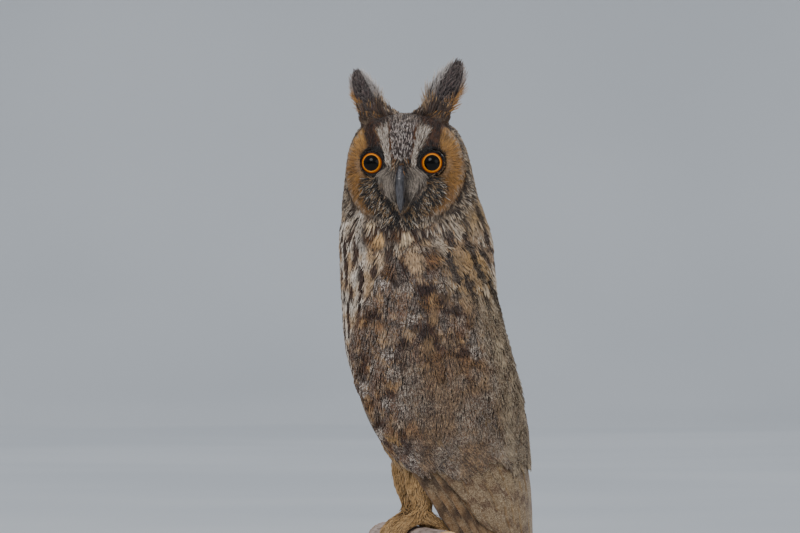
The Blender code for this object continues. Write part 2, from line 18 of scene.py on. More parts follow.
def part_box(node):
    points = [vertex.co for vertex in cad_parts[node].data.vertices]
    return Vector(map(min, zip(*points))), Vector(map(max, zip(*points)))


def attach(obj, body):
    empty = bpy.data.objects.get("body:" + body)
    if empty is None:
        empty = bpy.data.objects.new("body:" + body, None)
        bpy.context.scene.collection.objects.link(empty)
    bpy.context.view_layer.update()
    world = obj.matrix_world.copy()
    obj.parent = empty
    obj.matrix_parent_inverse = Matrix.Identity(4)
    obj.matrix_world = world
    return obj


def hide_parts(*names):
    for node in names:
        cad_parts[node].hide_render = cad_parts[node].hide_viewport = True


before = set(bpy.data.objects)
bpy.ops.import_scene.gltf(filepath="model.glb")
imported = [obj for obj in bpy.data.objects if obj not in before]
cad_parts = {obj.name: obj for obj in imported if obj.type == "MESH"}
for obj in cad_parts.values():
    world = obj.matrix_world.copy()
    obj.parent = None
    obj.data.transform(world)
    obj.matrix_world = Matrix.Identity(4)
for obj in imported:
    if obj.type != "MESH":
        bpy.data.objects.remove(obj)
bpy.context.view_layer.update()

MM = 0.001
rng = np.random.default_rng(7)

# The solids' frames

BODY_YAW = math.radians(75)
HEAD_YAW = math.radians(7)
PERCH_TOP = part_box("perch")[1].z / MM
EYE_LEVEL = 224
HEAD_AXIS = np.array((-14.4, -9.0, 0.0))
UP = np.array((0.0, 0.0, 1.0))


def forward(yaw):
    return np.array((-math.sin(yaw), -math.cos(yaw), 0.0))


def leftward(yaw):
    return np.array((math.cos(yaw), -math.sin(yaw), 0.0))


AHEAD = forward(BODY_YAW)
ABEAM = leftward(BODY_YAW)
FACING = forward(HEAD_YAW)
FACE_LEFT = leftward(HEAD_YAW)


def point_from(first, second, third, axes):
    first, second, third = np.broadcast_arrays(first, second, third)
    return first[..., None] * axes[0] + second[..., None] * axes[1] + third[..., None] * axes[2]


def bird(f, l, h):
    return point_from(f, l, np.asarray(h) + PERCH_TOP, (AHEAD, ABEAM, UP))


def height_of(spots):
    return spots[..., 2] - PERCH_TOP


def bird_parts(spots):
    return spots @ AHEAD, spots @ ABEAM, height_of(spots)


def face(u, v, w):
    return HEAD_AXIS + point_from(u, np.asarray(v) + PERCH_TOP + EYE_LEVEL, w, (FACE_LEFT, UP, FACING))


def face_parts(spots):
    beside = spots - HEAD_AXIS
    return beside @ FACE_LEFT, spots[..., 2] - PERCH_TOP - EYE_LEVEL, beside @ FACING


# The solids' stations

# Torso: height, furthest forward, furthest back and half breadth
TORSO_STATIONS = (
    (2, -27, -53, 14), (8, -16, -54, 18), (20, 3, -54, 25), (40, 24, -53.5, 31.5),
    (62, 35, -53, 37), (85, 45.5, -52, 40), (108, 52.5, -48.5, 41.5), (135, 55, -42.5, 41),
    (160, 56.5, -40, 39), (175, 57, -39, 37), (190, 56, -37, 34),
)
# What the wings wrap round, the same way
WRAP_STATIONS = (
    (-112, -44, -61, 20), (-80, -33, -61, 23.5), (-40, -9, -61, 28), (0, 12, -60.5, 32),
    (20, 21, -60, 34), (40, 30, -58, 36.5), (62, 37.5, -56, 39.5), (85, 47, -54, 42),
    (108, 53.5, -50.5, 43.5), (135, 56.5, -44.5, 43), (160, 58, -41.5, 41), (175, 58.5, -40.5, 39),
)
# Wings: height, bearings of the leading and trailing edge in degrees
WING_STATIONS = (
    (-112, 132, 152), (-104, 114, 160), (-90, 96, 167), (-60, 78, 171),
    (-20, 65, 172), (15, 48, 172), (40, 30, 172), (62, 11, 170),
    (85, 3, 167), (105, 4, 160), (120, 14, 155), (140, 37, 149),
    (160, 54, 141), (172, 78, 122),
)
WING_CLEAR = 0.8
WING_TRAIL = 172
WING_WRAP = {1: 1.0, -1: 0.76}
SIDE_NAMES = {1: "left", -1: "right"}
SIDES = (1, -1)

DISC_MIDDLE = -4
DISC_HALF_WIDTH = 37.5
DISC_HALF_HEIGHT = 35
FULLNESS = 2.2
EYE_SPREAD = 17.9
EYE_RADIUS = 9
EYE_OPENING = 6.6
EYE_YAW = math.radians(7)
MOUND_HEIGHT = 32.6
# Ear tufts: how far out the foot is, how far out the tip leans and the height
TUFTS = {1: (20.5, 13.5, 30.5), -1: (22.5, 10.5, 25)}


def smooth_through(stations, height):
    """The sizes at these heights, on a smooth curve through the stations."""
    rows = np.array(stations, float)
    at = np.clip(height, rows[0, 0], rows[-1, 0])
    low = np.clip(np.searchsorted(rows[:, 0], at, side="right") - 1, 0, len(rows) - 2)
    before = np.maximum(np.arange(len(rows)) - 1, 0)
    after = np.minimum(np.arange(len(rows)) + 1, len(rows) - 1)
    slopes = (rows[after] - rows[before]) / (rows[after] - rows[before])[:, :1]
    step = (rows[low + 1, 0] - rows[low, 0])[..., None]
    t = ((at - rows[low, 0])[..., None]) / step
    value = (2 * t**3 - 3 * t**2 + 1) * rows[low] + (3 * t**2 - 2 * t**3) * rows[low + 1]
    value += (t**3 - 2 * t**2 + t) * step * slopes[low] + (t**3 - t**2) * step * slopes[low + 1]
    return [value[..., column] for column in range(1, rows.shape[1])]


def power(value, exponent):
    return np.sign(value) * np.abs(value) ** exponent


def wrap_point(stations, angle, height, out=0.0, side=1):
    """Points round the torso or the wings. The angle turns from the breast to one side."""
    front, back, half = smooth_through(stations, height)
    f = (front + back) / 2 + ((front - back) / 2 + out) * power(np.cos(angle), 2 / FULLNESS)
    return bird(f, side * (half + out) * power(np.sin(angle), 2 / FULLNESS), height)


def turn_of(spots, stations=TORSO_STATIONS):
    """The angle, as in wrap_point, of points: 0 at the breast, 180 at the back, negative on the right."""
    f, l, h = bird_parts(spots)
    front, back, half = smooth_through(stations, h)
    along = (f - (front + back) / 2) / ((front - back) / 2)
    return np.degrees(np.arctan2(power(l / half, FULLNESS / 2), power(along, FULLNESS / 2)))


def wing_edges(height, side):
    lead, trail = smooth_through(WING_STATIONS, height)
    wrap = WING_WRAP[side]
    return WING_TRAIL - (WING_TRAIL - lead) * wrap, WING_TRAIL - (WING_TRAIL - trail) * wrap


def wing_share(spots, side):
    """How far across the folded wing of one side a point is, 0 at its leading edge and 1 at the other."""
    h = height_of(spots)
    lead, trail = wing_edges(h, side)
    return (turn_of(spots, WRAP_STATIONS) * side - lead) / (trail - lead)


def near_wing_share(spots):
    return np.where(spots @ ABEAM > 0, wing_share(spots, 1), wing_share(spots, -1))


def on_wing(side, share, height, out, slip):
    """Points over a wing: a share of the way across it, then a slip along the arc."""
    lead, trail = wing_edges(height, side)
    angle = np.radians(lead + (trail - lead) * share)
    step = 0.02
    here = wrap_point(WRAP_STATIONS, angle, height, WING_CLEAR, side)
    ahead = wrap_point(WRAP_STATIONS, angle + step, height, WING_CLEAR, side)
    angle = angle + slip * step / np.linalg.norm(ahead - here, axis=-1)
    return wrap_point(WRAP_STATIONS, angle, height, WING_CLEAR + out, side)


# Numbers: steps, noise and colours


def ramp(value, low, high):
    """0 below low, 1 above high and a smooth rise between them."""
    t = np.clip((value - low) / (high - low), 0, 1)
    return t * t * (3 - 2 * t)


def fade(value, low, high):
    """1 below low, 0 above high and a smooth fall between them."""
    return 1 - ramp(value, low, high)


def unit(vectors):
    return vectors / np.maximum(np.linalg.norm(vectors, axis=-1, keepdims=True), 1e-9)


def level_with(vectors, normals):
    """Vectors laid into the surface that has these normals."""
    return unit(vectors - (vectors * normals).sum(-1, keepdims=True) * normals)


def lattice(cells, seed):
    """A steady random number from 0 to 1 for each cell: large primes scatter its place and the seed."""
    mixed = cells[..., 0] * 73856093 ^ cells[..., 1] * 19349663 ^ cells[..., 2] * 83492791 ^ seed * 39916801
    mixed = (mixed ^ (mixed >> 13)) * 1274126177 & 0x7FFFFFFF
    return ((mixed ^ (mixed >> 15)) & 0xFFFF) / 0xFFFF


def speckle(spots, size, seed):
    """Smooth noise from 0 to 1 with spots of about this size in mm."""
    at = spots / size
    cell = np.floor(at).astype(np.int64)
    t = at - cell
    t = t * t * (3 - 2 * t)
    total = 0.0
    for corner in np.array(list(np.ndindex(2, 2, 2))):
        weight = np.prod(np.where(corner == 1, t, 1 - t), axis=-1)
        total = total + weight * lattice(cell + corner, seed)
    return total


def linear(code):
    """An sRGB hex colour as linear red, green and blue."""
    parts = np.array([int(code[i : i + 2], 16) for i in (1, 3, 5)]) / 255
    return np.where(parts <= 0.04045, parts / 12.92, ((parts + 0.055) / 1.055) ** 2.4)


def mix(first, second, share):
    """A mix of two colours, each a hex code or linear red, green and blue."""
    first, second = (linear(one) if isinstance(one, str) else one for one in (first, second))
    return first + (second - first) * np.asarray(share)[..., None]


WHITISH = "#d8cdbf"
PALE = "#cbb9a2"
CREAM = "#cdb594"
BUFF = "#b78f63"
TAN = "#a57d50"
DEEP_TAN = "#88643f"
GREY_BROWN = "#86725c"
DRAB = "#5f4d3c"
UMBER = "#4b3428"
CHOCOLATE = "#30241f"
BLACKISH = "#151110"
ASH = "#bdb2a8"


# Materials


def put(tree, kind, settings, links=None):
    """Adds a shader node, sets its values and links its inputs."""
    made = tree.nodes.new("ShaderNode" + kind)
    for name, value in settings.items():
        if hasattr(made, name):
            setattr(made, name, value)
        else:
            made.inputs[name].default_value = value
    for name, source in (links or {}).items():
        tree.links.new(source, made.inputs[name])
    return made


def finish_named(name, settings):
    """A new material, its tree and its shader, with the shader's constants set."""
    made = bpy.data.materials.new(name)
    made.use_nodes = True
    shader = made.node_tree.nodes["Principled BSDF"]
    for key, value in settings.items():
        shader.inputs[key].default_value = value
    return made, made.node_tree, shader


def grains(tree, coords, size, detail=2.0, distortion=0.0, stretch=(1, 1, 1)):
    """Noise with grains of about this size in mm, stretched along each axis."""
    scaled = put(tree, "Mapping", {"Scale": [1 / part for part in stretch]}, {"Vector": coords})
    settings = {"Scale": 1 / (size * MM), "Detail": detail, "Distortion": distortion}
    return put(tree, "TexNoise", settings, {"Vector": scaled.outputs["Vector"]}).outputs["Fac"]


def between(tree, value, low, high, start=0.0, end=1.0):
    settings = {"interpolation_type": "SMOOTHSTEP", "From Min": low, "From Max": high}
    settings |= {"To Min": start, "To Max": end}
    return put(tree, "MapRange", settings, {"Value": value}).outputs["Result"]


def maths(tree, operation, first, second):
    """One sum on two inputs, each a socket or a number."""
    made = put(tree, "Math", {"operation": operation})
    for socket, value in zip(made.inputs, (first, second)):
        if isinstance(value, (int, float)):
            socket.default_value = value
        else:
            tree.links.new(value, socket)
    return made.outputs[0]


def blended(tree, share, first, second, way="MIX"):
    """A mix of two colours, each a socket or a hex code."""
    made = put(tree, "MixRGB", {"blend_type": way})
    for socket, value in zip(made.inputs, (share, first, second)):
        if isinstance(value, (int, float)):
            socket.default_value = value
        elif isinstance(value, str):
            socket.default_value = (*linear(value).tolist(), 1.0)
        else:
            tree.links.new(value, socket)
    return made.outputs["Color"]


def coloured(tree, shader, colour, height, distance, strength):
    """Links a finish's colour, and its height in mm as a bump."""
    tree.links.new(colour, shader.inputs["Base Color"])
    settings = {"Strength": strength, "Distance": distance * MM}
    bump = put(tree, "Bump", settings, {"Height": height})
    tree.links.new(bump.outputs["Normal"], shader.inputs["Normal"])


def own_coords(tree):
    return put(tree, "TexCoord", {}).outputs["Object"]


def attribute(tree, name, output):
    return put(tree, "Attribute", {"attribute_name": name}).outputs[output]


BARB_GAP = 0.7


def plumage(name, squiggle, barbed):
    """Feather: keratin barbs, matt with a faint sheen. Its markings are on the mesh, as tint and fleck.

    Fine wavy flecks cross it where grain is high, a little coarser than the real ones so that they show.
    """
    settings = {"Roughness": 0.78, "Specular IOR Level": 0.22, "Sheen Weight": 0.12, "Sheen Roughness": 0.5}
    made, tree, shader = finish_named(name, settings)
    coords = own_coords(tree)
    wave = grains(tree, coords, squiggle, detail=1.5, distortion=1.6)
    flecked = maths(tree, "MULTIPLY", between(tree, wave, 0.485, 0.55), attribute(tree, "grain", "Fac"))
    colour = blended(tree, flecked, attribute(tree, "tint", "Color"), attribute(tree, "fleck", "Color"))
    patches = between(tree, grains(tree, coords, 3.2), 0.25, 0.75, 0.84, 1.14)
    shade = put(tree, "CombineColor", {}, {"Red": patches, "Green": patches, "Blue": patches})
    colour = blended(tree, 1.0, colour, shade.outputs["Color"], "MULTIPLY")
    height = grains(tree, coords, 0.45)
    if barbed:
        # Barbs run out from the shaft at a slant, 0.7 mm apart here, which is wider than the real ones
        vane = put(tree, "UVMap", {"uv_map": "vane"}).outputs["UV"]
        across = put(tree, "SeparateXYZ", {}, {"Vector": vane})
        slant = maths(tree, "MULTIPLY", maths(tree, "ABSOLUTE", across.outputs["X"], 0.0), 0.8)
        phase = maths(tree, "SUBTRACT", across.outputs["Y"], slant)
        ridges = maths(tree, "SINE", maths(tree, "MULTIPLY", phase, 2 * math.pi / BARB_GAP), 0.0)
        height = maths(tree, "ADD", height, maths(tree, "MULTIPLY", ridges, 0.35))
    coloured(tree, shader, colour, height, 0.16, 0.7)
    return made


contour_finish = plumage("contour_feather", 1.0, False)
quill_finish = plumage("flight_feather", 0.95, True)


# Meshes from arrays


def volume(points, faces):
    """Six times the signed volume of one closed shape, positive where its faces point outwards."""
    total = 0.0
    for one in faces:
        for second, third in zip(one[1:], one[2:]):
            total += np.dot(points[one[0]], np.cross(points[second], points[third]))
    return total


def array_mesh(name, points, faces, material, slot="plumage", attributes=None, maps=None):
    """A piece whose N small closed shapes have the same faces.

    Points are N x count x 3 in mm. Attributes are N x count, or x 3 for a colour, and maps N x count x 2.
    """
    number, count = points.shape[:2]
    if volume(points[number // 2], faces) < 0:
        faces = [one[::-1] for one in faces]
    flat = np.concatenate([np.array(one) for one in faces])
    corners = (flat[None] + (np.arange(number) * count)[:, None]).ravel()
    totals = np.tile([len(one) for one in faces], number)
    mesh = bpy.data.meshes.new(name)
    mesh.vertices.add(number * count)
    mesh.vertices.foreach_set("co", (points * MM).astype(np.float32).ravel())
    mesh.loops.add(len(corners))
    mesh.loops.foreach_set("vertex_index", corners.astype(np.int32))
    mesh.polygons.add(len(totals))
    starts = np.concatenate(([0], np.cumsum(totals)[:-1]))
    mesh.polygons.foreach_set("loop_start", starts.astype(np.int32))
    mesh.polygons.foreach_set("use_smooth", np.ones(len(totals), bool))
    mesh.update(calc_edges=True)
    paint(mesh, {key: value.reshape(number * count, -1) for key, value in (attributes or {}).items()})
    for key, value in (maps or {}).items():
        layer = mesh.uv_layers.new(name=key)
        layer.uv.foreach_set("vector", value.reshape(-1, 2)[corners].astype(np.float32).ravel())
    made = bpy.data.objects.new(name, mesh)
    bpy.context.scene.collection.objects.link(made)
    mesh.materials.append(material)
    return placed(made, slot)


RICHNESS = 1.2
DEPTH = 0.79
DAYLIGHT = np.array((0.21, 0.72, 0.07))


def deepened(tint):
    """A swatch's colours as barbs show them: darker and fuller, because light sinks in between them."""
    grey = (tint @ DAYLIGHT)[..., None]
    return np.clip((grey + (tint - grey) * RICHNESS) * DEPTH, 0.002, 1)


def paint(mesh, attributes):
    for key, value in attributes.items():
        if key in ("tint", "fleck"):
            value = deepened(value)
        if value.shape[1] == 3:
            layer = mesh.attributes.new(key, "FLOAT_COLOR", "POINT")
            full = np.concatenate((value, np.ones((len(value), 1))), axis=1)
            layer.data.foreach_set("color", full.astype(np.float32).ravel())
        else:
            layer = mesh.attributes.new(key, "FLOAT", "POINT")
            layer.data.foreach_set("value", value.astype(np.float32).ravel())


def placed(made, slot, *nodes):
    """A finished piece: it rides on the one body. The slot is not used."""
    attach(made, "root")
    if nodes:
        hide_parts(*nodes)
    return made


# Skin

FLESH = ("torso", "neck", "head", "leg_left", "leg_right", "foot_left", "foot_right")
GROW = 0.4
WING_CUT = 48
VOXEL = 1.25
MERGE_GAP = 0.01


def only(made):
    """Selects one object and nothing else."""
    bpy.ops.object.select_all(action="DESELECT")
    made.select_set(True)
    bpy.context.view_layer.objects.active = made


@contextmanager
def editing(selected="SELECT"):
    """Edit mode on the active object, with all or none of its mesh selected."""
    bpy.ops.object.mode_set(mode="EDIT")
    bpy.ops.mesh.select_all(action=selected)
    yield
    bpy.ops.object.mode_set(mode="OBJECT")


def added(primitive, name, **settings):
    """A new primitive, with nothing else selected."""
    bpy.ops.object.select_all(action="DESELECT")
    primitive(**settings)
    made = bpy.context.active_object
    made.name = name
    return made


def modified(made, kind, **settings):
    """Adds a modifier and applies it."""
    only(made)
    modifier = made.modifiers.new(kind.lower(), kind)
    for key, value in settings.items():
        setattr(modifier, key, value)
    bpy.ops.object.modifier_apply(modifier=modifier.name)
    return made


def smoothed(made, rounds):
    return modified(made, "SMOOTH", factor=0.5, iterations=rounds)


def remeshed(made, voxel, rounds):
    modified(made, "REMESH", mode="VOXEL", voxel_size=voxel * MM, use_smooth_shade=True)
    return smoothed(made, rounds)


def merged_copy(node, name):
    """A copy of a CAD node, free of the node and with its loose triangles merged."""
    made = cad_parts[node].copy()
    made.data = made.data.copy()
    made.name = name
    for key in list(made.keys()):
        del made[key]
    made.parent = None
    bpy.context.scene.collection.objects.link(made)
    only(made)
    with editing():
        bpy.ops.mesh.customdata_custom_splitnormals_clear()
        bpy.ops.mesh.remove_doubles(threshold=MERGE_GAP * MM)
    return made


def upper_wing(side):
    """The feathered arm of a folded wing, which the skin takes in. The free quills below it are left off."""
    made = merged_copy(f"wing_{SIDE_NAMES[side]}", f"arm_{SIDE_NAMES[side]}")
    cut = (0, 0, (PERCH_TOP + WING_CUT) * MM)
    with editing():
        bpy.ops.mesh.bisect(plane_co=cut, plane_no=(0, 0, 1), use_fill=True, clear_inner=True)
    return made


STUMP_MIDDLE = (-45.5, 0, 2)
STUMP_RADII = (7.5, 12, 27)


def tail_stump():
    """The root of the tail, which its feathers and their coverts grow from."""
    sphere = bpy.ops.mesh.primitive_uv_sphere_add
    middle = Vector(bird(*STUMP_MIDDLE) * MM)
    made = added(sphere, "stump", segments=24, ring_count=16, radius=1, location=middle)
    made.scale = [radius * MM for radius in STUMP_RADII]
    made.rotation_euler = (0, 0, math.atan2(AHEAD[1], AHEAD[0]))
    bpy.ops.object.transform_apply()
    return made


def vectors_of(holder, key):
    flat = np.empty(len(holder) * 3, np.float32)
    holder.foreach_get(key, flat)
    return flat.reshape(-1, 3).astype(float)


def vertex_points(mesh):
    return vectors_of(mesh.vertices, "co") / MM


def vertex_normals(mesh):
    return vectors_of(mesh.vertex_normals, "vector")


def move_points(mesh, points):
    mesh.vertices.foreach_set("co", (points * MM).astype(np.float32).ravel())
    mesh.update()


def disc_share(u, v):
    """0 at the middle of the facial disc and 1 at its edge."""
    across = np.abs(u / DISC_HALF_WIDTH) ** FULLNESS
    return (across + np.abs((v - DISC_MIDDLE) / DISC_HALF_HEIGHT) ** FULLNESS) ** (1 / FULLNESS)


def eye_gap(u, v):
    """How far a point of the face is from the middle of the nearer eye."""
    return np.hypot(np.abs(u) - EYE_SPREAD, v)


FACE_FRONT = 4


def on_face(spots):
    """1 on the facial disc and 0 off it, with a soft edge."""
    u, v, w = face_parts(spots)
    return fade(disc_share(u, v), 0.96, 1.02) * ramp(w, FACE_FRONT - 4, FACE_FRONT)


def coat_depth(spots):
    """How deep the skin lies under the tips of the coat."""
    u, v, w = face_parts(spots)
    h = height_of(spots)
    depth = 1.9 - 0.5 * ramp(h, 186, 206)
    depth = depth + (0.9 - depth) * on_face(spots)
    near_eye = fade(eye_gap(u, v), 9, 14) * ramp(w, 0, 6)
    depth = depth * (1 - near_eye)
    return depth - (depth - 0.6) * fade(h, 6, 14) * ramp(h, -22, -18) * ramp(spots @ AHEAD, -22, -14)


def make_skin():
    """One skin from crown to toes, inside the solids by the depth of the coat."""
    parts = [merged_copy(node, f"flesh_{node}") for node in FLESH] + [upper_wing(side) for side in SIDES]
    parts = [modified(part, "DISPLACE", strength=GROW * MM, mid_level=0) for part in parts]
    parts.append(tail_stump())
    bpy.ops.object.select_all(action="DESELECT")
    for part in parts:
        part.select_set(True)
    bpy.context.view_layer.objects.active = parts[0]
    bpy.ops.object.join()
    skin = bpy.context.active_object
    skin.name = skin.data.name = "skin"
    skin.data.materials.clear()
    skin.data.materials.append(contour_finish)
    remeshed(skin, VOXEL, 4)
    points = vertex_points(skin.data)
    depth = coat_depth(points) + GROW
    move_points(skin.data, points - vertex_normals(skin.data) * depth[:, None])
    return placed(smoothed(skin, 3), "plumage", *FLESH)


class Ground:
    """A surface that feathers grow on, as arrays in mm."""

    def __init__(self, made):
        mesh = made.data
        points = vertex_points(mesh)
        corners = np.empty(len(mesh.loops), np.int32)
        mesh.loops.foreach_get("vertex_index", corners)
        quads = corners.reshape(-1, 4)
        self.corners = points[quads]
        self.normals = unit(vertex_normals(mesh)[quads].mean(axis=1))
        first = self.corners[:, 2] - self.corners[:, 0]
        second = self.corners[:, 3] - self.corners[:, 1]
        self.areas = np.linalg.norm(np.cross(first, second), axis=1) / 2
        self.middles = self.corners.mean(axis=1)
        self.tree = BVHTree.FromPolygons(points.tolist(), quads.tolist())

    def land(self, spots):
        """The nearest points of the surface, and its normals there."""
        hits = [self.tree.find_nearest(spot) for spot in spots.tolist()]
        on = np.array([hit[0] for hit in hits])
        return on, self.normals[[hit[2] for hit in hits]]

    def scatter(self, density):
        """Roots over the surface, with so many to a square mm at each face, and the faces' normals."""
        expected = density * self.areas
        counts = np.floor(expected + rng.random(len(expected))).astype(int)
        index = np.repeat(np.arange(len(counts)), counts)
        a, b = rng.random((2, len(index), 1))
        c = self.corners[index]
        lower = c[:, 0] * (1 - a) + c[:, 1] * a
        upper = c[:, 3] * (1 - a) + c[:, 2] * a
        return lower * (1 - b) + upper * b, self.normals[index]


# How the coat lies

ANKLE_HEIGHT = 9
FOOT_SPREAD = 14.5
PERCH_FORWARD = 9


def lie(spots, normals):
    """The way that the feathers point at these spots: out from the face, then down and back."""
    u, v, w = face_parts(spots)
    _, l, h = bird_parts(spots)
    share = disc_share(u, v)
    radial = unit(point_from(u, v - DISC_MIDDLE, 0 * u, (FACE_LEFT, UP, FACING)))
    near_disc = fade(share, 1.0, 1.4)[:, None] * ramp(w, -16, -4)[:, None]
    head = radial * near_disc * 1.2 - FACING * (0.9 - 0.4 * near_disc) - UP * (0.75 - 0.5 * near_disc)
    turn = np.abs(turn_of(spots))
    body = -UP - AHEAD * (0.32 * ramp(turn, 60, 100) * ramp(h, 120, 160))[:, None]
    way = body + (head - body) * ramp(h, 184, 204)[:, None]
    rising = UP + FACE_LEFT * (0.4 * face_side(u))[:, None]
    way = way + (rising - way) * by_tuft(spots)[:, None]
    toes = fade(h, 4, 10)[:, None]
    side = np.where(l > 0, 1, -1)
    from_ankle = spots - bird(PERCH_FORWARD, side * FOOT_SPREAD, ANKLE_HEIGHT)
    on_toes = toes * (np.linalg.norm(from_ankle, axis=-1) < 30)[:, None]
    way = way + (unit(from_ankle) - UP * 0.2 - way) * on_toes
    return level_with(way, normals)


def face_side(u):
    return np.where(u > 0, 1.0, -1.0)


def by_tuft(spots):
    """1 at the foot of an ear tuft and 0 away from it."""
    u, v, w = face_parts(spots)
    gap = np.hypot((np.abs(u) - 20.5) / 12, (v - 32) / 8)
    return fade(gap, 0.5, 1.0) * ramp(w, -14, -7)


def lie_on_face(spots, normals):
    """Out from each eye over the discs, up the brows and down beside the bill."""
    u, v, _ = face_parts(spots)
    side = face_side(u)
    across = np.abs(u)
    out = np.stack(((across - EYE_SPREAD), v), axis=-1)
    way = unit(out)
    brow = ramp(v, -3, 2) * fade(across, 10 + 0.25 * np.abs(v), 14 + 0.3 * np.abs(v))
    up = unit(np.stack((0.1 + 0.035 * across, np.ones_like(v)), axis=-1))
    way = way + (up - way) * brow[:, None]
    lores = fade(from_lores(u, v), -0.5, 1.5)
    widen = (lores_half(v - 1) - lores_half(v + 1)) / 2
    drop = unit(np.stack((widen * across / np.maximum(lores_half(v), 2), -np.ones_like(v)), axis=-1))
    way = way + (drop - way) * lores[:, None]
    chin = ramp(-v, 24, 30) * fade(across, 8, 16)
    below = unit(np.stack((0.05 * across, -np.ones_like(v)), axis=-1))
    way = way + (below - way) * chin[:, None]
    return level_with(point_from(way[:, 0] * side, way[:, 1], 0 * u, (FACE_LEFT, UP, FACING)), normals)


# The grey fan of feathers beside the bill: depth below the eyes and half its width there
LORES = np.array(
    ((2, 8.5), (4, 11), (7, 15), (12, 16.8), (16, 16), (20, 13.4), (23.5, 10), (27, 5.8), (31, 0.5)), float
)


def lores_half(v):
    return np.interp(-v, LORES[:, 0], LORES[:, 1])


def from_lores(u, v):
    """How far outside the edge of the lores a point is, negative inside them."""
    down = np.linspace(LORES[0, 0], LORES[-1, 0], 32)
    gap = np.hypot(np.abs(u)[..., None] - lores_half(-down), v[..., None] + down).min(axis=-1)
    inside = (np.abs(u) < lores_half(v)) & (v < -LORES[0, 0]) & (v > -LORES[-1, 0])
    return np.where(inside, -gap, gap)


# Contour feathers as fields of marks: each has a middle, a size and a pattern round it

FEATHER_TRIES = 14000
BODY_RADIUS = 42


class Field:
    """The middles of the contour feathers. Each strand of the coat belongs to the nearest one."""

    def __init__(self, ground):
        spacing = feather_spacing(ground.middles)
        chosen = rng.permutation(len(ground.middles))[:FEATHER_TRIES]
        kept = np.empty((0, 3))
        picked = []
        for index in chosen:
            spot = ground.middles[index]
            if not len(kept) or ((kept - spot) ** 2).sum(1).min() > spacing[index] ** 2:
                kept = np.append(kept, spot[None], axis=0)
                picked.append(index)
        self.middles = kept
        self.sizes = spacing[picked] * 0.62
        self.down = lie(kept, ground.normals[picked])
        self.side = np.cross(ground.normals[picked], self.down)
        self.chance = rng.random((len(kept), 3))
        self.tree = kdtree.KDTree(len(kept))
        for i, spot in enumerate(kept):
            self.tree.insert(spot, i)
        self.tree.balance()

    def owners(self, spots):
        return np.array([self.tree.find(spot)[1] for spot in spots.tolist()])

    def local(self, spots, owner):
        """Where spots are in their feather: across and along, each from about -1 to 1."""
        beside = spots - self.middles[owner]
        across = (beside * self.side[owner]).sum(-1) / self.sizes[owner]
        return across, (beside * self.down[owner]).sum(-1) / self.sizes[owner]


def feather_spacing(spots):
    h = height_of(spots)
    size = 8.5 + 1.5 * ramp(on_either_wing(spots), 0.4, 0.6)
    size = size + 3.4 * ramp(h, 160, 172) * ramp(turn_of(spots), 10, 30) - 6.4 * ramp(h, 194, 205)
    return size - 3 * fade(h, 30, 60) * ramp(spots @ AHEAD, -25, -10)


def on_either_wing(spots):
    """1 on the arm of either folded wing and 0 off it, with a soft edge."""
    h = height_of(spots)
    share = near_wing_share(spots)
    edge = ramp(share, -0.02, 0.05) * fade(share, 0.93, 1.02)
    return edge * fade(h, 166, 176) * ramp(h, WING_CUT - 4, WING_CUT)


# Markings, the same for the skin and the coat over it. Each gives tint, fleck and grain


def streaks(first, second, seed):
    """Noise in a pattern's own plane, from 0 to 1."""
    first, second = np.broadcast_arrays(first, second)
    return speckle(np.stack((first, second, 0 * first + seed), axis=-1), 1.0, seed)


def barred(turns, low, high):
    """Bars, 1 where the turns are near a whole number."""
    return ramp(np.cos(2 * math.pi * turns), low, high)


def chequered(pale, dark, side, t, chance, fine):
    """A feather with a broad dark streak that widens and narrows along it."""
    edge = side + 0.4 * (fine - 0.5) + 0.2 * np.sin(5.5 * t + 9 * chance[:, 1])
    return mix(pale, dark, fade(edge, 0.38, 0.52))


def brow_edges(v):
    """The middle and the half width of the whitish brow, out from the bill."""
    up = np.maximum(v, 0)
    return 7.6 + 0.26 * up, 1.0 + 0.03 * up + 0.0055 * up**2


def on_forehead(u, v):
    """1 on the speckled wedge between the brows."""
    middle, half = brow_edges(v)
    edge = np.where(v < 22, middle - half, 8.6 + 0.05 * (v - 22))
    return fade(np.abs(u), edge - 0.5, edge + 0.4) * ramp(v, -2, 0.5)


def on_brow(u, v):
    middle, half = brow_edges(v)
    across = ramp(half - np.abs(np.abs(u) - middle), -0.6, 0.6)
    top = v + 0.6 * (np.abs(u) - middle)
    return across * ramp(v, -5, -1) * fade(top, 17, 23)


def in_bristles(u, v, roughness=0.0):
    """1 in the dark bristles that surround the lores from the eyes down."""
    out = from_lores(u, v)
    reach = 9.0 - 2 * ramp(-v, 22, 32)
    return ramp(out, 0.1, 0.9) * fade(out + roughness, reach - 3, reach) * ramp(-v, 7.5, 10.5)


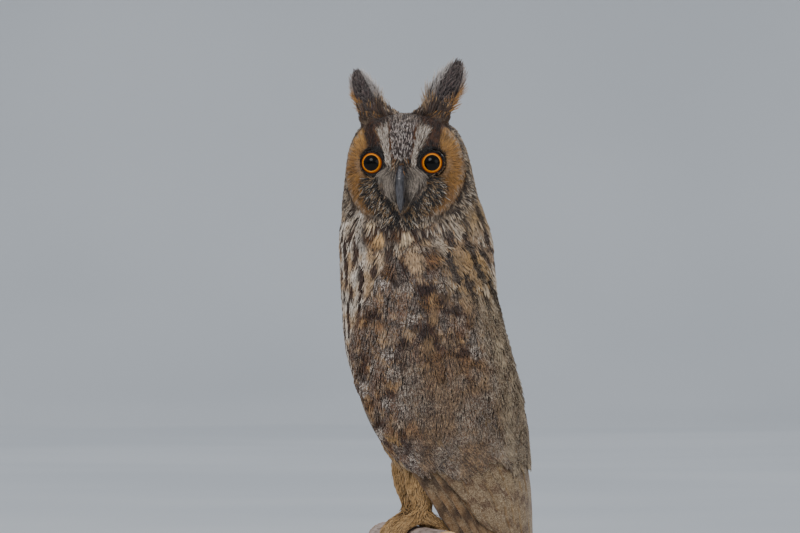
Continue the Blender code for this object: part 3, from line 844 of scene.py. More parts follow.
def face_marks(spots):
    u, v, _ = face_parts(spots)
    side = face_side(u)
    across = np.abs(u)
    fine = speckle(spots, 1.5, 11)
    from_eye = eye_gap(u, v)
    round_eye = np.arctan2(v, across - EYE_SPREAD)
    rays = streaks(round_eye * 11, from_eye / 9 + 50 * side, 12)
    share = disc_share(u, v)
    tint = mix(DEEP_TAN, TAN, ramp(rays, 0.2, 0.7))
    tint = mix(tint, "#c39a68", 0.6 * ramp(v, 0, 18) * ramp(from_eye, 9, 15))
    tint = mix(tint, "#bda084", 0.45 * fade(from_eye, 9.5, 13) * fade(v, 0, 5))
    tint = mix(tint, DRAB, 0.55 * ramp(rays, 0.62, 0.9) * ramp(from_eye, 10, 20))
    # The lower part of the disc is darker: partly its own colour, partly painted shade of the lower face
    # under light from above
    tint = mix(tint, "#7c6148", 0.5 * ramp(-v, 8, 22))
    # The dark patch over each eye, up to the foot of the tuft
    middle, half = brow_edges(v)
    outer = np.interp(v, (3, 10, 19, 25, 31), (20.5, 22.5, 24, 23, 21)) + 3 * (rays - 0.5)
    dark = ramp(across, middle + half - 0.4, middle + half + 0.8) * fade(across, outer - 1.5, outer + 2)
    over_brow = ramp(v + 2 * (fine - 0.5), 19.5, 22) * ramp(across, 7.5, 9.5) * fade(across, 24, 28)
    dark = np.maximum(dark * ramp(v, 3, 7), over_brow)
    tint = mix(tint, mix("#221612", "#5a3d2d", ramp(fine, 0.3, 0.9)), dark)
    # The speckled forehead between the brows, with its orange-brown edge
    wedge = on_forehead(u, v)
    ground_tone = mix("#44383a", "#95877f", ramp(fine, 0.25, 0.75))
    tint = mix(tint, mix(ground_tone, "#2a1d17", 0.85 * fade(v, 1, 9) * fade(across, 3, 6)), wedge)
    line = np.exp(-(((across - middle + half + 1.0) / 1.1) ** 2)) * ramp(v, 0, 4) * fade(v, 19, 24)
    tint = mix(tint, mix("#7e5029", "#241914", ramp(fine, 0.35, 0.65)), 0.92 * line)
    # The whitish brows
    hairs = streaks(across / 0.7 - 0.2 * v, v / 9 + 20 * side, 14)
    brow = mix("#84766a", "#d2c6b8", ramp(hairs, 0.25, 0.7))
    tint = mix(tint, brow, on_brow(u, v + 7 * (hairs - 0.5)))
    # Black round the eyes, narrow below them
    ring = 7.3 + 2.2 * ramp(v, 0, 5) + 0.8 * (fine - 0.5)
    tint = mix(tint, BLACKISH, fade(from_eye, ring, ring + 1.0) * (1 - 0.8 * on_brow(u, v)))
    # Grey lores beside the bill, with painted shade along the bill, and a pale lower edge
    out = from_lores(u, v)
    fall = streaks(across / np.maximum(lores_half(v), 3) * 13, v / 9 + 10 * side, 15)
    lores = mix("#4f443d", "#a3978b", ramp(fall, 0.25, 0.85))
    lores = mix(lores, "#96795a", 0.6 * ramp(across, 6, 12) * ramp(fall, 0.35, 0.6) * fade(-v, 12, 18))
    # Painted shade along the bill: the lores are darkest next to it
    lores = mix(lores, "#38302c", fade(across, 3.0, 7.0) * 0.9 * fade(-v, 18, 27))
    lores = mix(lores, "#bda688", 0.45 * ramp(out, -2.6, -0.9) * ramp(-v, 13, 18) * ramp(fall, 0.3, 0.6))
    bristle = in_bristles(u, v, 5 * (rays - 0.5))
    dark_tone = mix(BLACKISH, "#85664a", ramp(fine + 0.05 * out, 0.42, 0.85))
    tint = mix(tint, dark_tone, 0.92 * bristle)
    tint = mix(tint, lores, fade(out + 2.4 * (rays - 0.5), -0.8, 0.4) * fade(v, -4, -1))
    # A dark collar below the bill
    chin = ramp(-v + 2 * (fine - 0.5), 30, 33) * fade(across, 17, 26)
    tint = mix(tint, mix(CHOCOLATE, "#6f5e50", ramp(fine, 0.5, 0.8)), chin)
    # The rim of the disc: a thin pale line, then a dark one
    broken = 0.03 * (fine - 0.5)
    rim = ramp(share + broken, 0.91, 0.935) * fade(share + broken, 0.95, 0.97) * fade(v, 14, 24)
    tint = mix(tint, "#b8ab9c", 0.6 * rim * ramp(fine, 0.3, 0.6))
    tint = mix(tint, CHOCOLATE, ramp(share + broken, 0.955, 0.98))
    return tint, mix(tint, ASH, np.full(len(v), 0.3)), 0 * v


# Tips of the small feathers: share of pale ones, the pale colours and the dark one
FOREHEAD_TIPS = (0.5, "#a3968f", "#dbd2cb", "#291e1a")
CROWN_TIPS = (0.42, "#8f7f70", "#b9aca0", "#33271f")
TUFT_FOOT_TIPS = (0.3, "#8a6038", "#b98a55", "#2b201c")
BRISTLE_TIPS = (0.4, "#86684a", "#b99d7c", "#0b0706")
COLLAR_TIPS = (0.46, "#a3917c", "#d0c4b6", "#2e211c")
RUFF_TIPS = (0.4, "#b3a18b", "#d3c8ba", "#33261f")
BROW_TIPS = (0.62, "#b3a698", "#d9cfc5", "#5c4e44")


def tipped(spots, tint, along):
    """Pale or dark tips for the small feathers of the head, one tip to a strand. Spots are the roots."""
    u, v, w = face_parts(spots)
    in_front = ramp(w, -2, 4)
    share = disc_share(u, v)
    foot = by_tuft(spots)
    crown = ramp(v, 21, 27) * (1 - foot)
    outside = 1 - on_face(spots)
    chin = ramp(-v, 29, 32) * fade(np.abs(u), 18, 27) * fade(-v, 36, 41) * in_front
    around = ramp(share, 0.98, 1.02) * fade(share, 1.1, 1.2) * ramp(w, -8, 0) * fade(v, 16, 24)
    around = around * fade(-v, 34, 38)
    for weight, (pale_share, low, high, dark) in (
        (on_forehead(np.abs(u) + 2.0, v) * in_front, FOREHEAD_TIPS),
        (crown * fade(np.abs(u), 8, 11) * np.maximum(outside, on_forehead(u, v)), CROWN_TIPS),
        (foot, TUFT_FOOT_TIPS),
        (in_bristles(u, v) * in_front, BRISTLE_TIPS),
        (around, RUFF_TIPS),
        (chin, COLLAR_TIPS),
        (on_brow(u, v) * in_front, BROW_TIPS),
    ):
        pale = mix(low, high, rng.random(len(u)))
        tip = np.where(rng.random((len(u), 1)) < pale_share, pale, linear(dark))
        cover = weight[:, None] * ramp(along, 0.35, 0.75)
        tint = mix(tint, tip[:, None], cover)
    return tint


def head_marks(spots, s, t, chance):
    """Crown, nape, the backs of the discs and the collar under them."""
    u, v, w = face_parts(spots)
    fine = speckle(spots, 1.7, 21)
    share = disc_share(u, v)
    tint = mix("#b59a77", "#8d7b67", ramp(fine, 0.2, 0.8))
    streak = fade(np.abs(s) + 0.5 * (fine - 0.5), 0.3, 0.55)
    tint = mix(tint, CHOCOLATE, 0.9 * streak)
    tint = mix(tint, mix("#4d3b30", "#7d6b5b", ramp(fine, 0.3, 0.7)), ramp(v, 20, 28))
    crown_side = ramp(v, 19, 24) * ramp(np.abs(u), 7.5, 10.5)
    tint = mix(tint, mix("#33221a", "#64472f", ramp(fine, 0.4, 0.8)), crown_side)
    tint = mix(tint, "#35251d", 0.8 * by_tuft(spots))
    ruff = fade(share, 1.12, 1.3) * ramp(w, -8, 0) * fade(v, 20, 28) * fade(-v, 37, 42)
    scallop = mix(CHOCOLATE, mix("#8d7a66", PALE, fine), ramp(speckle(spots, 2.4, 23), 0.42, 0.66))
    tint = mix(tint, scallop, ruff)
    dark_chin = ruff * ramp(-v, 28, 32) * fade(np.abs(u), 16, 26)
    tint = mix(tint, mix(CHOCOLATE, "#85725f", ramp(fine, 0.5, 0.8)), dark_chin)
    return tint, mix(tint, PALE, np.full(len(v), 0.6)), np.full(len(v), 0.2)


# Single feathers that stand out in the photo: bearing, height, half width, half length and colour
LONE_MARKS = (
    (77, 165, 4.5, 9, "#c9ad8f"), (46, 124, 4, 4, "#97765a"),
    (86, 128, 3.0, 5, "#9b8064"), (80, 112, 3.2, 7, "#8f765c"),
    (62, 150, 3, 4, "#2f201a"), (47, 168, 5, 6, "#33261f"),
    (98, 133, 4, 6, "#2f1d16"),
)


def body_marks(spots, s, t, chance):
    h = height_of(spots)
    turn = turn_of(spots)
    round_body = np.abs(turn)
    fine = speckle(spots, 2.2, 31)
    soft = speckle(spots, 6, 32)
    wide = speckle(spots, 17, 33)
    side = np.abs(s)
    # Breast and belly: whitish buff, a long dark streak down each feather, crossbars on the belly
    breast = mix("#e4d9cc", "#bda182", ramp(soft + 0.3 * (fine - 0.5), 0.3, 0.9))
    width = 0.17 + 0.18 * ramp(t, -0.8, 0.8) + 0.16 * chance[:, 0]
    streak = fade(side + 0.42 * (fine - 0.5), width, width + 0.16)
    bars = barred(0.8 * t + 0.35 * side + chance[:, 1], 0.62, 0.9)
    streak = np.maximum(streak, bars * 0.8 * fade(h, 60, 130) * fade(side, 0.6, 0.95))
    breast = mix(breast, mix(CHOCOLATE, UMBER, soft), streak)
    breast = mix(breast, mix(BUFF, CREAM, soft), fade(h, 14, 40))
    # Upper breast: large cream blobs with soft dark gaps
    blob = fade(np.hypot(side, 0.75 * (t - 0.6)) + 0.4 * (soft - 0.5), 0.46, 0.68)
    pale = mix("#c89f6e", "#e8d3b6", chance[:, 2])
    bib = mix(mix("#2e1a10", "#5e432d", ramp(soft, 0.3, 0.9)), pale, blob)
    # Mantle: buff with broad broken dark streaks
    pale, dark = mix("#b6987a", "#8b7866", wide), mix("#221611", "#3f2b21", soft)
    mantle = chequered(pale, dark, side, t, chance, fine)
    spot = ramp(side, 0.5, 0.7) * ramp(t, -0.4, 0.2) * ramp(chance[:, 2], 0.25, 0.45)
    mantle = mix(mantle, "#dccdba", 0.85 * spot)
    # Lower back: grey-brown, finely wavy, with a dark shaft line
    back = mix(GREY_BROWN, DRAB, ramp(soft, 0.3, 0.9))
    back = mix(back, "#382a23", 0.85 * fade(side + 0.4 * (fine - 0.5), 0.16, 0.36))
    back = mix(back, "#b5a48d", 0.5 * ramp(side, 0.6, 0.85) * ramp(chance[:, 1], 0.4, 0.6))
    blend = ramp(round_body + 16 * (wide - 0.5), 44, 66)
    tint = mix(breast, mantle, blend)
    lower = ramp(round_body, 66, 100) * fade(h, 118, 148)
    tint = mix(tint, back, lower)
    top = ramp(h, 166, 177) * ramp(turn, 20, 36) * fade(turn, 82, 100) * fade(h, 196, 202)
    tint = mix(tint, bib, top)
    grain = 0.12 + 0.78 * np.maximum(lower, 0.3 * blend)
    return tint, mix(tint, ASH, 0.6 + 0 * h), grain * (1 - 0.85 * top)


def wing_marks(spots, s, t, chance):
    """Coverts and scapulars: dark brown with rufous patches and grey wavy clusters at the tips."""
    h = height_of(spots)
    turn = turn_of(spots, WRAP_STATIONS)
    round_body = np.abs(turn)
    fine = speckle(spots, 2.0, 41)
    soft = speckle(spots, 5.5, 42)
    wide = speckle(spots, 13, 43)
    side = np.abs(s)
    low = fade(h + 22 * (wide - 0.5), 78, 112) * ramp(round_body, 40, 70)
    tint = mix("#38261f", "#6b4f3e", ramp(soft + 0.5 * (fine - 0.5), 0.3, 0.8))
    tint = mix(tint, "#8c6b4b", 0.36 * ramp(wide + 0.3 * (fine - 0.5), 0.55, 0.72) * ramp(fine, 0.25, 0.5))
    tint = mix(tint, "#b99a78", 0.75 * ramp(speckle(spots, 3.1, 45), 0.62, 0.76))
    tint = mix(tint, mix("#7d6856", "#5c4a3f", ramp(soft + 0.5 * (fine - 0.5), 0.3, 0.7)), 0.7 * low)
    shaft = fade(side + 0.5 * (fine - 0.5), 0.14, 0.42) * ramp(chance[:, 1], 0.15, 0.4)
    tint = mix(tint, "#2a1c17", (0.92 - 0.5 * low) * shaft)
    blotch = ramp(speckle(spots, 8, 46) + 0.25 * (fine - 0.5), 0.6, 0.7)
    tint = mix(tint, "#33211b", 0.75 * blotch)
    fleck = mix(mix("#a5794f", BUFF, fine), "#c3b8ae", ramp(wide, 0.3, 0.55))
    grain = 0.42 * (1 - blotch)
    gap = np.hypot(side, t - 0.25) + 1.1 * (soft - 0.5) + 0.5 * (fine - 0.5)
    cluster = ramp(chance[:, 0], 0.2, 0.34) * ramp(t, -0.7, -0.2) * fade(gap, 0.6, 1.0)
    cluster = cluster * (1 - 0.45 * low) * (0.6 + 0.4 * ramp(chance[:, 2], 0.1, 0.5))
    tint = mix(tint, "#54433a", 0.55 * cluster)
    fleck = mix(fleck, mix("#b7a48d", "#d8cec5", chance[:, 2]), cluster)
    grain = np.maximum(grain, cluster)
    rear = ramp(round_body, 100, 128)
    behind = mix("#8b7a68", DRAB, ramp(soft + 0.3 * (fine - 0.5), 0.3, 0.8))
    behind = mix(behind, "#3a2c24", 0.8 * fade(side + 0.4 * (fine - 0.5), 0.14, 0.34))
    behind = mix(behind, "#b9a88f", 0.6 * ramp(side, 0.55, 0.8) * ramp(chance[:, 1], 0.4, 0.6))
    tint = mix(tint, behind, 0.85 * rear)
    scapular = chequered(mix("#b8976f", "#8b765f", wide), "#2b1d16", side, t, chance, fine)
    scapular = mix(scapular, "#d3c3ae", 0.75 * ramp(side, 0.5, 0.7) * ramp(chance[:, 2], 0.25, 0.45))
    upper = ramp(round_body, 88, 104) * ramp(h + 16 * (wide - 0.5), 128, 146)
    tint = mix(tint, scapular, upper)
    fleck = mix(fleck, "#ad9f8a", np.maximum(rear, 0.5 * low))
    grain = grain + (0.75 - grain) * np.maximum(rear, 0.7 * low)
    grain = grain * (1 - 0.6 * upper)
    tint, grain = lone_marks(spots, turn, h, tint, grain)
    return tint, fleck, grain


def lone_marks(spots, turn, h, tint, grain):
    edge = 0.9 * (speckle(spots, 2.4, 44) - 0.5)
    for bearing, height, half, length, code in LONE_MARKS:
        beside = (turn - bearing) * math.radians(BODY_RADIUS)
        inside = fade(np.hypot(beside / half, (h - height) / length) + edge, 0.6, 1.1)
        tint = mix(tint, linear(code), 0.85 * inside)
        grain = grain * (1 - 0.8 * inside)
    return tint, grain


def leg_marks(spots, s, t, chance):
    h = height_of(spots)
    soft = speckle(spots, 5, 51)
    tint = mix("#c9a880", "#ae8d66", soft)
    streak = fade(np.abs(s) + 0.4 * (soft - 0.5), 0.08, 0.24) * ramp(h, 26, 44)
    tint = mix(tint, DRAB, 0.6 * streak)
    return tint, tint, 0 * h


def on_leg(spots):
    """1 on the legs and feet and 0 off them."""
    f, _, h = bird_parts(spots)
    front = smooth_through(TORSO_STATIONS, h)[0]
    return fade(h, 52, 60) * ramp(f, front - 8, front - 2)


def all_marks(spots, s, t, chance):
    """Every part's markings, blended from part to part."""
    h = height_of(spots)
    marks = body_marks(spots, s, t, chance)
    turn = turn_of(spots)
    risen = h + 16 * (speckle(spots, 8, 24) - 0.5) + 10 * ramp(np.abs(turn), 90, 130)
    risen = risen - 5 * ramp(turn, 10, 30) * fade(turn, 85, 105)
    for weight, part in (
        (on_either_wing(spots), wing_marks),
        (ramp(risen, 184, 200), head_marks),
        (on_leg(spots), leg_marks),
        (on_face(spots), None),
    ):
        share = weight[:, None]
        new = part(spots, s, t, chance) if part else face_marks(spots)
        tint = marks[0] + (new[0] - marks[0]) * share
        fleck = marks[1] + (new[1] - marks[1]) * share
        marks = (tint, fleck, marks[2] + (new[2] - marks[2]) * weight)
    return marks


# Strands: thin tapered vanes with a ridge, the smallest pieces of the coat

# Along a strand: share of its length, of its half width and of its height
STRAND = np.array(((0, 0.6, 0.5), (0.3, 1.0, 1.0), (0.62, 0.9, 0.9), (0.87, 0.52, 0.6), (1, 0, 0)))
STATIONS = len(STRAND)


def along_strands(start, change):
    """A value at each station of each strand: what it is at the root, and its change by the tip."""
    return start[:, None] + change[:, None] * STRAND[:, 0]


def strand_faces():
    faces = []
    for k in range(STATIONS - 2):
        for i in range(3):
            j = (i + 1) % 3
            faces.append((3 * k + i, 3 * k + j, 3 * k + 3 + j, 3 * k + 3 + i))
    last = 3 * (STATIONS - 2)
    faces += [(last + i, last + (i + 1) % 3, last + 3) for i in range(3)]
    return faces + [(0, 2, 1)]


STRAND_FACES = strand_faces()
# The size of one strand on its piece's UV map
PATCH = 0.003


def unwrap_body(spots):
    """The skin slit down the back and laid flat: round it, and up it."""
    h = height_of(spots)
    u, _, w = face_parts(spots)
    head = np.degrees(np.arctan2(u, w)) + 68
    share = ramp(h, 172, 202)
    turn = turn_of(spots) * (1 - share) + ((head + 180) % 360 - 180) * share
    return np.stack((0.04 + 0.92 * (turn + 180) / 360, 0.04 + 0.92 * (h + 60) / 330), axis=-1)


def unwrap_limb(spots):
    """A leg and foot slit down the back and laid flat, the left one beside the right."""
    _, l, h = bird_parts(spots)
    beside = spots - bird(PERCH_FORWARD, np.where(l > 0, FOOT_SPREAD, -FOOT_SPREAD), 0)
    turn = np.arctan2(beside @ ABEAM, beside @ AHEAD) / (2 * math.pi) + 0.5
    return np.stack((0.03 + 0.45 * turn + 0.5 * (l > 0), 0.04 + 0.92 * (h + 25) / 95), axis=-1)


def strand_piece(name, path, normals, half, high, marks, roots_at):
    """One coat piece of strands along these paths, N x 5 x 3, with a colour at each station."""
    along = np.gradient(path, axis=1)
    side = unit(np.cross(along, normals))
    wide = side * (half[:, None] * STRAND[:, 1])[..., None]
    rise = normals * (high[:, None] * STRAND[:, 2])[..., None]
    rings = np.stack((path - wide, path + rise, path + wide), axis=2)[:, :-1]
    points = np.concatenate((rings.reshape(len(path), -1, 3), path[:, -1:]), axis=1)

    def per_point(values, edge=1.0):
        ringed = np.repeat(values[:, :-1], 3, axis=1)
        if values.ndim == 3:
            ringed = ringed * np.tile((edge, 1.0, edge), STATIONS - 1)[None, :, None]
        return np.concatenate((ringed, values[:, -1:]), axis=1)

    tint, fleck, grain = marks
    # Each strand's edges take its tint 6% darker than its ridge, as painted shade at its sides
    attributes = {"tint": per_point(tint, 0.94), "fleck": per_point(fleck), "grain": per_point(grain)}
    across = np.append(np.tile((-0.5, 0, 0.5), STATIONS - 1), 0)
    up = np.append(np.repeat(STRAND[:-1, 0], 3), 1) - 0.5
    local = np.stack((across * PATCH, up * PATCH), axis=-1)
    bake = roots_at[:, None] + local[None]
    maps = {"OFBake": bake}
    return array_mesh(name, points, STRAND_FACES, contour_finish, attributes=attributes, maps=maps)


def grow_path(ground, roots, normals, flow, length, bias):
    """Centre lines that start at the roots and follow the surface, with the normals under them."""
    spots, ups = roots, normals
    path, above = [spots], [ups]
    for k in range(1, STATIONS):
        way = flow(spots, ups)
        way = way * np.cos(bias)[:, None] + np.cross(ups, way) * np.sin(bias)[:, None]
        step = (length * (STRAND[k, 0] - STRAND[k - 1, 0]))[:, None]
        spots, ups = ground.land(spots + way * step)
        path.append(spots)
        above.append(ups)
    return np.stack(path, axis=1), np.stack(above, axis=1)


def coat_piece(name, ground, field, density, sizes, loft, spread=0.3, unwrap=unwrap_body, flow=lie):
    """A piece of the coat, laid along the skin.

    Density is the number of strands to a square mm at each face, and sizes the length, half width and height
    of a strand. Loft is how far it stands up at its root, at its tip and over the feather before it, all in
    mm. Spread is the fan of a feather.
    """
    roots, normals = ground.scatter(density)
    number = len(roots)
    length = sizes[0] * rng.uniform(0.82, 1.15, number) * shortened(roots)
    owner = field.owners(roots + flow(roots, normals) * (length * 0.5)[:, None])
    s, _ = field.local(roots, owner)
    bias = spread * s + rng.normal(0, 0.12, number)
    path, above = grow_path(ground, roots, normals, flow, length, bias)
    flat = path.reshape(-1, 3)
    owners = np.repeat(owner, STATIONS)
    s_all, t_all = field.local(flat + rng.normal(0, 0.35, flat.shape), owners)
    astray = np.repeat(rng.normal(0, 0.5, (number, 3)), STATIONS, axis=0)
    tint, fleck, grain = all_marks(flat + astray, s_all, t_all, field.chance[owners])
    shape = (number, STATIONS)
    tint = tint.reshape(*shape, 3) * rng.uniform(0.84, 1.14, (number, 1, 1))
    tint = tipped(roots, tint, STRAND[:, 0])
    marks = (tint, fleck.reshape(*shape, 3), grain.reshape(shape))
    out = loft[0] + (loft[1] - loft[0]) * STRAND[:, 0] ** 0.8
    step = loft[2] * np.clip((t_all.reshape(shape) + 1) / 2, 0, 1.2)
    path = path + above * (out + step * (STRAND[:, 0] + 0.2) + rng.normal(0, 0.14, (number, 1)))[..., None]
    half = sizes[1] * rng.uniform(0.8, 1.2, number)
    high = np.full(number, sizes[2])
    return strand_piece(name, path, above, half, high, marks, unwrap(roots))


def shortened(spots):
    """A share of a strand's usual length: less on the forehead and crown."""
    u, v, w = face_parts(spots)
    return 1 - 0.35 * np.maximum(on_forehead(u, v) * ramp(w, -2, 4), ramp(v, 22, 28) * (1 - by_tuft(spots)))


LOWEST_STRANDS = 52
# The skin shows only between the feathers, in their shade
SKIN_SHADE = 0.7
FLECK_SHADE = 0.8


def make_coat(skin):
    ground = Ground(skin)
    field = Field(ground)
    spots = ground.middles
    u, v, _ = face_parts(spots)
    _, l, h = bird_parts(spots)
    points = vertex_points(skin.data)
    owner = field.owners(points)
    s, t = field.local(points, owner)
    tint, fleck, grain = all_marks(points, s, t, field.chance[owner])
    paint(skin.data, {"tint": tint * SKIN_SHADE, "fleck": fleck * FLECK_SHADE, "grain": grain[:, None]})

    face_share = on_face(spots)
    wing = on_either_wing(spots)
    leg = on_leg(spots)
    share = near_wing_share(spots)
    lowest = LOWEST_STRANDS + 16 * (speckle(spots, 9, 47) - 0.5)
    under_quills = (share > 0.04) & (share < 0.96) & (h < lowest)
    rump = (np.abs(turn_of(spots)) > 60) & (h > 12) & (share > 0.04)
    shown = ~(under_quills | (rump & (h < lowest)))
    head = (h > 192) & (face_share < 0.5)
    body = (h <= 192) & (face_share < 0.5) & (wing < 0.5) & (leg < 0.5) & shown
    front = np.abs(turn_of(spots)) < 62
    arm = (wing >= 0.5) & shown
    foot = (leg >= 0.5) & (h <= 8)
    shin = (leg >= 0.5) & (h > 8)
    around = ramp(eye_gap(u, v), 6.9, 7.5)
    limb = {"unwrap": unwrap_limb}
    disc = {"spread": 0.0, "flow": lie_on_face}
    for side in SIDES:
        half = side * l > 0
        across = side * u > 0
        for name, density, sizes, loft, ways in (
            ("head", 0.95 * (head & across), (5.6, 0.42, 0.3), (-0.3, 1.2, 0.25), {}),
            ("breast", 0.5 * (body & front & half), (10.5, 0.66, 0.4), (-0.4, 1.6, 0.3), {}),
            ("mantle", 0.47 * (body & ~front & half), (10.5, 0.68, 0.4), (-0.4, 1.6, 0.6), {}),
            ("covert", 0.47 * (arm & half), (9.5, 0.67, 0.4), (-0.4, 1.5, 0.8), {}),
            ("leg", 0.62 * (shin & half), (7.5, 0.48, 0.35), (-0.3, 1.3, 0.2), limb),
            ("toe", 1.0 * (foot & half), (3.2, 0.38, 0.25), (-0.15, 0.45, 0.1), limb),
            ("face", 1.6 * (face_share * around * across), (4.8, 0.32, 0.28), (-0.2, 0.75, 0.0), disc),
        ):
            coat_piece(f"{name}_feathers_{SIDE_NAMES[side]}", ground, field, density, sizes, loft, **ways)
    return ground, field


skin = make_skin()
ground, field = make_coat(skin)


# Flight feathers, greater coverts and tail: wide vanes with a shaft, a webbed face and an uneven edge

VANE_COLUMNS = np.array((-1, -0.74, -0.44, -0.14, 0, 0.14, 0.44, 0.74, 1))
VANE_ROWS = 44
VANE_THICK = 0.34
SHAFT_RISE = 0.22
CAMBER = 0.36


def vane_faces():
    """Faces round a flat closed vane: over the top from edge to edge and back along the underside."""
    columns = len(VANE_COLUMNS)
    ring = 2 * (columns - 1)
    faces = []
    for k in range(VANE_ROWS - 1):
        for i in range(ring):
            j = (i + 1) % ring
            faces.append((k * ring + i, k * ring + j, (k + 1) * ring + j, (k + 1) * ring + i))
    under = [0, *range(ring - 1, columns - 1, -1), columns - 1]
    last = (VANE_ROWS - 1) * ring
    for j in range(columns - 1):
        cap = list(dict.fromkeys((j, under[j], under[j + 1], j + 1)))
        faces.append(tuple(cap))
        faces.append(tuple(last + corner for corner in reversed(cap)))
    return faces


VANE_FACES = vane_faces()


def vane_piece(name, place, half, length, taper, marks):
    """N vanes. Place gives the points for shares along, slips across in mm and heights above their seat.

    Half is each vane's half width, length its length and taper where it starts to narrow to its tip.
    """
    number = len(half)
    along = np.linspace(0, 1, VANE_ROWS)[None, :, None]
    columns = VANE_COLUMNS[None, None, :]
    seeds = np.arange(number)[:, None, None] * 7.3 + len(name)
    narrow = np.clip((along - taper) / (1.0 - taper), 0, 1)
    outline = np.sqrt(np.clip(1 - narrow**2.4, 0.0016, 1)) * (0.45 + 0.55 * ramp(along, 0, 0.3))
    ragged = streaks(along * length[:, None, None] / 2.6, seeds + 9 * np.sign(columns), 61) - 0.5
    width = half[:, None, None] * outline * (1 + 0.12 * ragged * np.abs(columns) ** 3)
    across = columns * width
    ripple = 0.25 * (streaks(along * length[:, None, None] / 9, seeds + 0 * columns, 62) - 0.5)
    shaft = SHAFT_RISE * (columns == 0) * (1 - 0.7 * along)
    top = CAMBER * (1 - columns**2) * outline + shaft + ripple
    thick = VANE_THICK * (1 - 0.6 * np.abs(columns)) * np.minimum(1, outline + 0.2)
    along = np.broadcast_to(along, across.shape)
    over = place(along, across, top)
    below = place(along, across, top - thick)
    points = np.concatenate((over, below[:, :, -2:0:-1]), axis=2).reshape(number, -1, 3)

    def ringed(values):
        both = np.concatenate((values, values[:, :, -2:0:-1]), axis=2)
        return both.reshape(number, -1, *values.shape[3:])

    tint, fleck, grain = marks(over, along, across, np.broadcast_to(columns, across.shape))
    attributes = {"tint": ringed(tint), "fleck": ringed(fleck), "grain": ringed(grain)}
    web = np.stack((across, along * length[:, None, None]), axis=-1)
    slot_at = (np.arange(number)[:, None, None] + 0.5 + 0.42 * across / half.max()) / number
    bake = np.stack((slot_at, 0.02 + 0.96 * along), axis=-1)
    maps = {"OFBake": ringed(bake), "vane": ringed(web)}
    return array_mesh(name, points, VANE_FACES, quill_finish, attributes=attributes, maps=maps)


def wing_tier(name, side, roots, tips, half, outs, taper, marks, tilt=0.42):
    """A row of feathers over a folded wing. Roots and tips are shares across the wing and heights.

    Outs are how far the root and the tip stand off the wing, and tilt how steeply one vane laps the next.
    """
    roots, tips, outs = (np.array(part, float) for part in (roots, tips, outs))
    seat = outs[:, :, None, None]
    length = np.abs(tips[:, 1] - roots[:, 1])

    def place(along, across, high):
        share = roots[:, 0, None, None] + (tips[:, 0] - roots[:, 0])[:, None, None] * along
        height = roots[:, 1, None, None] + (tips[:, 1] - roots[:, 1])[:, None, None] * along
        out = seat[:, 0] + (seat[:, 1] - seat[:, 0]) * ramp(along, 0, 0.66)
        lean = -tilt * across / half * ramp(along, 0, 0.25)
        return on_wing(side, share, height, out + high + lean, across)

    return vane_piece(name, place, np.full(len(roots), float(half)), length, taper, marks)


QUILL_SHAFT = 0.05


def quill_tone(spots, web):
    """What all quills share: a dark shaft, and a paler fringe along the edges."""
    soft = speckle(spots, 5, 71)
    rear = ramp(turn_of(spots, WRAP_STATIONS), 84, 120)
    behind = mix("#746149", DRAB, soft * 0.7)
    base = mix(mix("#4a392f", "#665342", soft), behind, 0.3 + 0.6 * rear)
    base = mix(base, CHOCOLATE, 0.75 * (np.abs(web) < QUILL_SHAFT))
    return base, soft, rear


def primary_marks(spots, along, across, web):
    """Grey-brown with dark bars, warm buff near the base and rufous along the leading edges."""
    base, soft, _ = quill_tone(spots, web)
    base = mix(base, "#8f6d4c", 0.35 * fade(along, 0.3, 0.55) * ramp(-web, -0.2, 0.4))
    bars = barred(along * 8.5 + 0.05 * across, 0.25, 0.6)
    tint = mix(base, CHOCOLATE, 0.8 * bars)
    tint = mix(tint, "#8e6a4c", 0.7 * ramp(-web, 0.7, 0.95))
    tint = mix(tint, "#8a7963", 0.5 * ramp(along, 0.75, 1) * (1 - bars))
    return tint, mix(GREY_BROWN, "#b0a28c", soft), 0.5 * (1 - 0.7 * bars)


def secondary_marks(spots, along, across, web):
    """Grey-brown, finely wavy, with narrow dark bars."""
    base, soft, _ = quill_tone(spots, web)
    bars = barred(along * 6.5 + 0.03 * across, 0.55, 0.8)
    tint = mix(base, "#7d6854", 0.4 * ramp(along, 0.4, 0.8))
    tint = mix(tint, UMBER, 0.75 * bars)
    tint = mix(tint, "#9b7a55", 0.6 * ramp(np.abs(web), 0.78, 0.98))
    return tint, mix("#a08d74", "#b3a58f", soft), 0.7 * (1 - 0.5 * bars)


def covert_marks(spots, along, across, web):
    """Dark brown to grey-brown, rufous in places, with a grey wavy cluster and a pale spot near the tip."""
    base, soft, rear = quill_tone(spots, web)
    wide = speckle(spots, 14, 72)
    tint = mix(base, "#94693f", 0.4 * ramp(wide, 0.55, 0.8) * (1 - 0.7 * rear))
    cluster = ramp(along, 0.62, 0.78) * fade(np.abs(web), 0.72, 1)
    cluster = cluster * ramp(soft + 0.6 * (wide - 0.5), 0.3, 0.6)
    tint = mix(tint, "#6b5a4e", 0.4 * cluster)
    spot = ramp(along, 0.82, 0.88) * fade(along, 0.95, 0.99) * ramp(-web, 0.1, 0.4)
    tint = mix(tint, "#b89a76", 0.45 * spot * (1 - 0.5 * rear))
    tint = mix(tint, CHOCOLATE, 0.5 * fade(np.abs(web), 0.05, 0.3) * (1 - cluster))
    h = height_of(spots)
    grain = np.maximum(0.5 + 0.2 * rear, 0.8 * cluster)
    tint, grain = lone_marks(spots, turn_of(spots, WRAP_STATIONS), h, tint, grain)
    return tint, mix("#a08d74", "#b5a793", cluster), grain


# Tips of the primaries, from the leading edge: share across the wing and height
PRIMARY_TIPS = (
    (0.2, -90), (0.36, -106), (0.52, -112), (0.63, -103), (0.71, -90), (0.78, -75), (0.84, -59),
)


